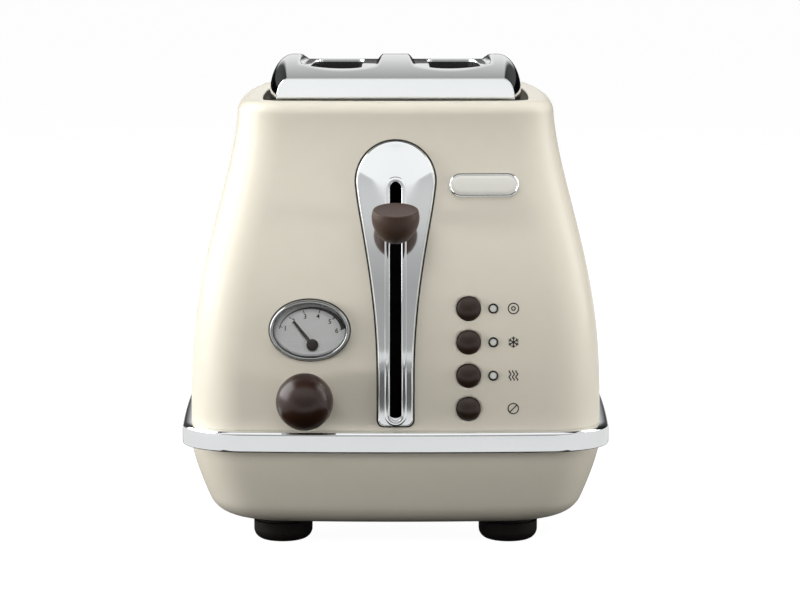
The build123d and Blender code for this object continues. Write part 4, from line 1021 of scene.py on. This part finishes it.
# The CAD nodes that stay, with the finish of each
finishes = {
    zinc: ("bottom_plate", "crumb_tray", "rear_end_plate", "reflector_left", "reflector_right",
           "bread_rack_left", "bread_rack_right"),
    wire: ("bread_guard_left", "bread_guard_right", "guide_rods"),
    screw_steel: ("foot_screws", "housing_screws", "knob_shaft"),
    rubber: ("foot_front_left", "foot_front_right", "foot_rear_left", "foot_rear_right"),
    # The front end plate and the carriage bracket are black as painted shade for the dark inside seen through
    # the lever slot
    black_paint_and_shade: ("vent_frame", "front_end_plate", "carriage_bracket", "lever_arm"),
    mica: ("element_board_1", "element_board_2", "element_board_3", "element_board_4"),
    ribbon: ("heater_wires",),
    iron: ("armature_plate", "magnet_core"),
    copper_winding(): ("magnet_coil",),
    white_acetal: ("knob_gear", "idler_gear", "needle_gear", "terminal_block"),
    black_nylon: ("gear_bracket", "potentiometer", "board_carrier", "board_parts", "cord_gland"),
    board_green: ("control_board",),
    acrylic: ("status_lens_1", "status_lens_2", "status_lens_3"),
}
for look, names in finishes.items():
    for name in names:
        mesh = nodes[name].data
        mesh.materials.clear()
        mesh.materials.append(look)

# Pieces: each bread slot's lip and lining go (inward, down), the badge's rim and field (grown, raised)
slot_lip = ((-0.05, 0.0), (0.2, 0.05), (0.45, 0.25), (0.55, 0.6), (0.55, 2.3))
slot_lining = ((0.6, 1.6), (0.7, 2.4), (0.7, 6.0), (0.7, 14.0))
badge_rim = ((0.0, -0.2), (0.0, 0.5), (-0.2, 0.95), (-0.6, 1.2), (-1.0, 0.95), (-1.15, 0.6), (-1.2, 0.3))
badge_field = ((-1.0, 0.4), (-1.4, 0.55), (-3.0, 0.62), (-5.84, 0.65))
lamp_rings = [turned(lamp_ring_profile(z), (lens_side, 0, z), 40) for z in button_heights[:3]]
lever_knob_centre = (0, belt_front - 12.1, 176.6)
spring_place, spring_low, spring_high = (8.0, belt_front + 72.0), 158.5, 205.0
spring_ends = [(spring_place[0] * mm, spring_place[1] * mm, z * mm) for z in (spring_high, spring_low)]

make_piece("body_skin", bell_shape(), enamel, stands_for="body_shell", wall=shell_wall)
make_piece("bowl_skin", bowl_shape(), shaded_bowl_enamel, stands_for="lower_bowl", wall=bowl_wall)
make_piece("belt_ring", belt_shape(), chrome, stands_for="chrome_belt", crease=50)
# A dark strip of painted shade under the belt
make_piece("belt_shadow_strip", belt_shadow_strip_shape(), black_paint_and_shade)
make_piece("tray_panel", tray_panel_shape(), shaded_bowl_enamel, body="tray", towards=(0, 1, 0), wall=tray_wall)
make_piece("cover_skin", cover_shape(), chrome, stands_for="top_cover", crease=60, towards=upwards)
make_piece("slot_lips", bread_slot_walls(slot_lip), chrome, towards=upwards)
make_piece("slot_linings", bread_slot_walls(slot_lining), black_paint_and_shade, towards=upwards)
for name, shape, look, node in (
        ("lever_plate_skin", lever_plate_shape(), chrome, "lever_plate"),
        ("slot_bead", bead_shape(), chrome, "lever_slot_bezel"),
        ("gauge_ring", gauge_bezel_shape(), shaded_chrome, "gauge_bezel"),
        ("dial_face", dial_shape(), dial_paint, "gauge_dial"),
        ("dial_scale", dial_marks(), ink, None),
        ("button_signs", sign_shapes(), ink, None),
        # The dark strips round the lever plate and the gauge are painted shade
        ("trim_shadow_strips", shadow_strip_shape(), black_paint_and_shade, None),
        ("lamp_rings", joined(*lamp_rings), black_nickel, "lens_rings"),
        ("badge_rim", badge_shape(badge_rim), chrome, None),
        ("bare_badge", badge_shape(badge_field), satin, None)):
    make_piece(name, shape, look, stands_for=node, towards=out_front)
make_piece("gauge_window", gauge_glass_shape(), clear_glass(), stands_for="gauge_glass", towards=out_front,
           wall=0.6)
make_piece("needle_skin", needle_shape(), needle_paint, body="needle", stands_for="gauge_needle",
           towards=out_front)
make_piece("browning_knob_skin", turned(knob_profile(), (knob_side, 0, knob_height), 96), brown, body="knob",
           stands_for="browning_knob")
make_piece("lever_knob_skin", turned(lever_knob_profile(), lever_knob_centre, 96, tilt=13.5, upright=True),
           satin_brown, body="carriage", stands_for="lever_knob")
for name, height in zip(("bagel", "defrost", "reheat", "cancel"), button_heights):
    shape = turned(button_profile(height), (button_side, 0, height), 64)
    make_piece(f"{name}_button_skin", shape, button_brown, body=f"{name}_button", stands_for=f"button_{name}",
               crease=60)
for text, place in zip("123456", number_places):
    figure(text, place, ink)
make_piece("stretching_spring", spring_shape(spring_place, spring_low, spring_high), wire, body="carriage",
           stands_for="return_spring", stretch=spring_ends)


# Floor, light and camera, in metres
def floor_look():
    """White floor: the camera and mirrors see it lit up, and it keeps the object's shadow."""
    look, tree = start("white_floor")
    rays = add(tree, "ShaderNodeLightPath")
    seen = add(tree, "ShaderNodeMath", {0: rays.outputs["Is Camera Ray"], 1: rays.outputs["Is Glossy Ray"]},
               operation="MAXIMUM")
    level = add(tree, "ShaderNodeMapRange", {"Value": rays.outputs["Is Camera Ray"], "To Min": 0.8,
                                             "To Max": 1.34})
    paint = add(tree, "ShaderNodeBsdfDiffuse", {"Color": mixed(tree, seen, "#343331", "#C8C8C8")})
    glow = add(tree, "ShaderNodeEmission", {"Color": (1, 1, 1, 1), "Strength": level})
    share = add(tree, "ShaderNodeMath", {0: seen, 1: 0.72}, operation="MULTIPLY")
    return ended(look, add(tree, "ShaderNodeMixShader", {
        0: share, 1: paint, 2: glow}))


def card_look(name, level):
    """An evenly lit card."""
    look, tree = start(name)
    return ended(look, add(tree, "ShaderNodeEmission", {"Color": (level, level, level, 1), "Strength": 1.0}))


def ramp_look(name, stops, window=None):
    """A card lit by its height through stops of (height, level); a window gives how far to both sides
    of its middle the light stays and where it has gone."""
    look, tree = start(name)
    parts = add(tree, "ShaderNodeSeparateXYZ", {"Vector": object_place(tree)})
    height = add(tree, "ShaderNodeMapRange", {"Value": parts.outputs["Z"], "From Min": 0.0, "From Max": room})
    ramp = add(tree, "ShaderNodeValToRGB", {"Fac": height})
    while len(ramp.color_ramp.elements) < len(stops):
        ramp.color_ramp.elements.new(0.5)
    for element, (up, level) in zip(ramp.color_ramp.elements, stops):
        element.position = up / room
        element.color = (level, level, level, 1)
    inputs = {"Color": ramp, "Strength": 1.0}
    if window:
        aside = add(tree, "ShaderNodeMath", {0: parts.outputs["X"]}, operation="ABSOLUTE")
        fade = add(tree, "ShaderNodeMapRange", {"Value": aside, "From Min": window[0],
                                                "From Max": window[1], "To Min": 1.0, "To Max": 0.08})
        inputs["Strength"] = fade
    return ended(look, add(tree, "ShaderNodeEmission", inputs))


def flat_piece(name, corners, look):
    """A flat stage piece with four corners."""
    mesh = bpy.data.meshes.new(name)
    mesh.from_pydata(corners, [], [(0, 1, 2, 3)])
    mesh.materials.append(look)
    board = bpy.data.objects.new(name, mesh)
    bpy.context.scene.collection.objects.link(board)
    board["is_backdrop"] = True
    return board


def card(name, look, x, y, z):
    """A studio card that only mirrors see, level or upright: it has one number for the way that it
    faces, and two ends for each of the others."""
    (x0, x1), (y0, y1), (z0, z1) = (np.broadcast_to(v, 2).tolist() for v in (x, y, z))
    if z0 == z1:
        corners = [(x0, y0, z0), (x1, y0, z0), (x1, y1, z0), (x0, y1, z0)]
    else:
        corners = [(x0, y0, z0), (x1, y1, z0), (x1, y1, z1), (x0, y0, z1)]
    board = flat_piece(name, corners, look)
    board.visible_camera = False
    board.visible_diffuse = False
    board.visible_shadow = False
    board.visible_transmission = False


def lamp(name, place, aim_height, size, power):
    """A soft square lamp that looks at a point on the object's axis; mirrors see the cards in its stead."""
    data = bpy.data.lights.new(name, "AREA")
    data.shape = "RECTANGLE"
    data.size, data.size_y = size
    data.energy = power
    holder = bpy.data.objects.new(name, data)
    bpy.context.scene.collection.objects.link(holder)
    x, y, z = np.array([0, 0, aim_height]) - place
    holder.location = place
    holder.rotation_euler = (math.atan2(math.hypot(x, y), -z), 0, math.atan2(y, x) - math.pi / 2)
    holder.visible_glossy = False


room = 2.95
floor_reach = 40.0
floor_corners = [(x * floor_reach, y * floor_reach, 0) for x, y in ((-1, -1), (1, -1), (1, 1), (-1, 1))]
floor = flat_piece("floor", floor_corners, floor_look())
floor.location.z = -0.0002

white, black = card_look("white_card", 1.05), card_look("black_card", 0.015)
pale, dim, grey = card_look("pale_card", 1.0), card_look("dim_card", 0.12), card_look("grey_card", 0.3)
box_left, box_right = card_look("left_softbox", 5.0), card_look("right_softbox", 3.0)
front = ramp_look("front_card", ((0.17, 0.38), (0.8, 0.38), (1.1, 0.46), (1.4, 0.7), (1.6, 1.0), (2.9, 1.05)))
back = ramp_look("back_card", ((0.295, 0.02), (0.31, 0.85), (0.65, 0.74), (1.17, 0.38), (2.1, 0.3),
                               (2.3, 0.02)), window=(0.3, 0.42))
wide = (-2.5, 2.5)
for row in (
        ("front_card", front, wide, -2.5, (0.17, room)),
        ("back_card", back, wide, 2.3, (0.0, room)),
        ("back_low_left", white, (-1.6, -0.3), 2.28, (0.0, 0.12)),
        ("back_low_right", white, (0.3, 1.6), 2.28, (0.0, 0.12)),
        ("ceiling_front", white, wide, (-2.5, -1.2), room),
        ("ceiling_middle", black, wide, (-1.2, 0.9), room),
        ("ceiling_back", white, wide, (0.9, 2.3), room),
        ("left_low", white, -1.6, (-1.9, 0.2), (0.0, 0.3)),
        ("left_soft", box_left, -1.6, (-0.7, 1.3), (0.3, 2.3)),
        ("right_soft", box_right, 1.6, (-0.15, 0.6), (0.2, 2.1)),
        ("right_black", black, 1.7, (0.6, 2.3), (0.0, 2.0)),
        ("front_low_left", black, (-2.5, -0.12), -2.47, (0.0, 0.055)),
        ("front_low_right", black, (0.12, 2.5), -2.47, (0.0, 0.055)),
        ("front_foot", grey, (-0.08, 0.08), -2.46, (0.0, 0.08)),
        ("floor_dim_left", black, (-0.36, -0.1), (-2.4, -0.7), 0.001),
        ("floor_dim_right", black, (0.1, 0.36), (-2.4, -0.7), 0.001),
        # A black mat under the object, seen only in mirrors, is a painted shadow in place of the floor's
        # contact shadow
        ("floor_shadow_mat", black, (-0.2, 0.2), (-0.3, 0.3), 0.0),
        ("floor_dim", dim, (-0.35, 0.35), (-2.4, -0.64), 0.0),
        ("floor_far", pale, (-3.0, 3.0), (-14.0, -2.6), 0.0)):
    card(*row)
for row in (
        ("side_left", (-1.4, -0.05, 0.25), 0.12, (0.9, 0.5), 16),
        ("low_left", (-1.2, -0.55, 0.12), 0.05, (0.7, 0.15), 9),
        ("low_right", (1.2, -0.4, 0.1), 0.03, (0.7, 0.15), 8.5),
        ("side_right", (1.4, 0.1, 0.3), 0.12, (0.9, 0.5), 4),
        ("front_right", (1.3, -1.9, 0.9), 0.12, (0.8, 0.9), 2),
        ("front_high", (-0.2, -1.9, 1.4), 0.12, (1.6, 0.9), 19),
        ("top_soft", (0, -0.1, 1.7), 0.1, (1.4, 1.0), 25),
        ("back_high", (0.3, 1.9, 1.1), 0.12, (1.4, 0.9), 13)):
    lamp(*row)

world = bpy.data.worlds.new("studio")
bpy.context.scene.world = world
world.use_nodes = True
tree = world.node_tree
tree.nodes.clear()
rays = add(tree, "ShaderNodeLightPath")
seen = add(tree, "ShaderNodeMath", {0: rays.outputs["Is Camera Ray"], 1: rays.outputs["Is Transmission Ray"]},
           operation="MAXIMUM")
strength = add(tree, "ShaderNodeMapRange", {"Value": seen, "To Min": 0.12, "To Max": 1.0})
mirrored = add(tree, "ShaderNodeMath", {0: rays.outputs["Is Glossy Ray"], 1: 0.75}, operation="MULTIPLY")
level = add(tree, "ShaderNodeMath", {0: strength, 1: mirrored},
            operation="MAXIMUM")
sky = add(tree, "ShaderNodeBackground", {"Color": (1, 1, 1, 1), "Strength": level})
add(tree, "ShaderNodeOutputWorld", {"Surface": sky})

camera_distance, camera_height, camera_tilt = 1300.0, 292.24, 7.087
camera_data = bpy.data.cameras.new("camera")
camera_data.sensor_width = 36.0
camera_data.lens = 118.718
camera_data.shift_x = 0.0055
camera_data.clip_start = 0.05
camera_data.clip_end = 100.0
camera = bpy.data.objects.new("camera", camera_data)
camera.location = (0, (belt_front - camera_distance) * mm, camera_height * mm)
camera.rotation_euler = (math.radians(90 - camera_tilt), 0, 0)
bpy.context.scene.collection.objects.link(camera)
bpy.context.scene.camera = camera
bpy.context.scene.view_settings.view_transform = "Standard"

boxes = {"cad": cad_box, "visual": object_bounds()}
{key: [list(corner) for corner in box] for key, box in boxes.items()}
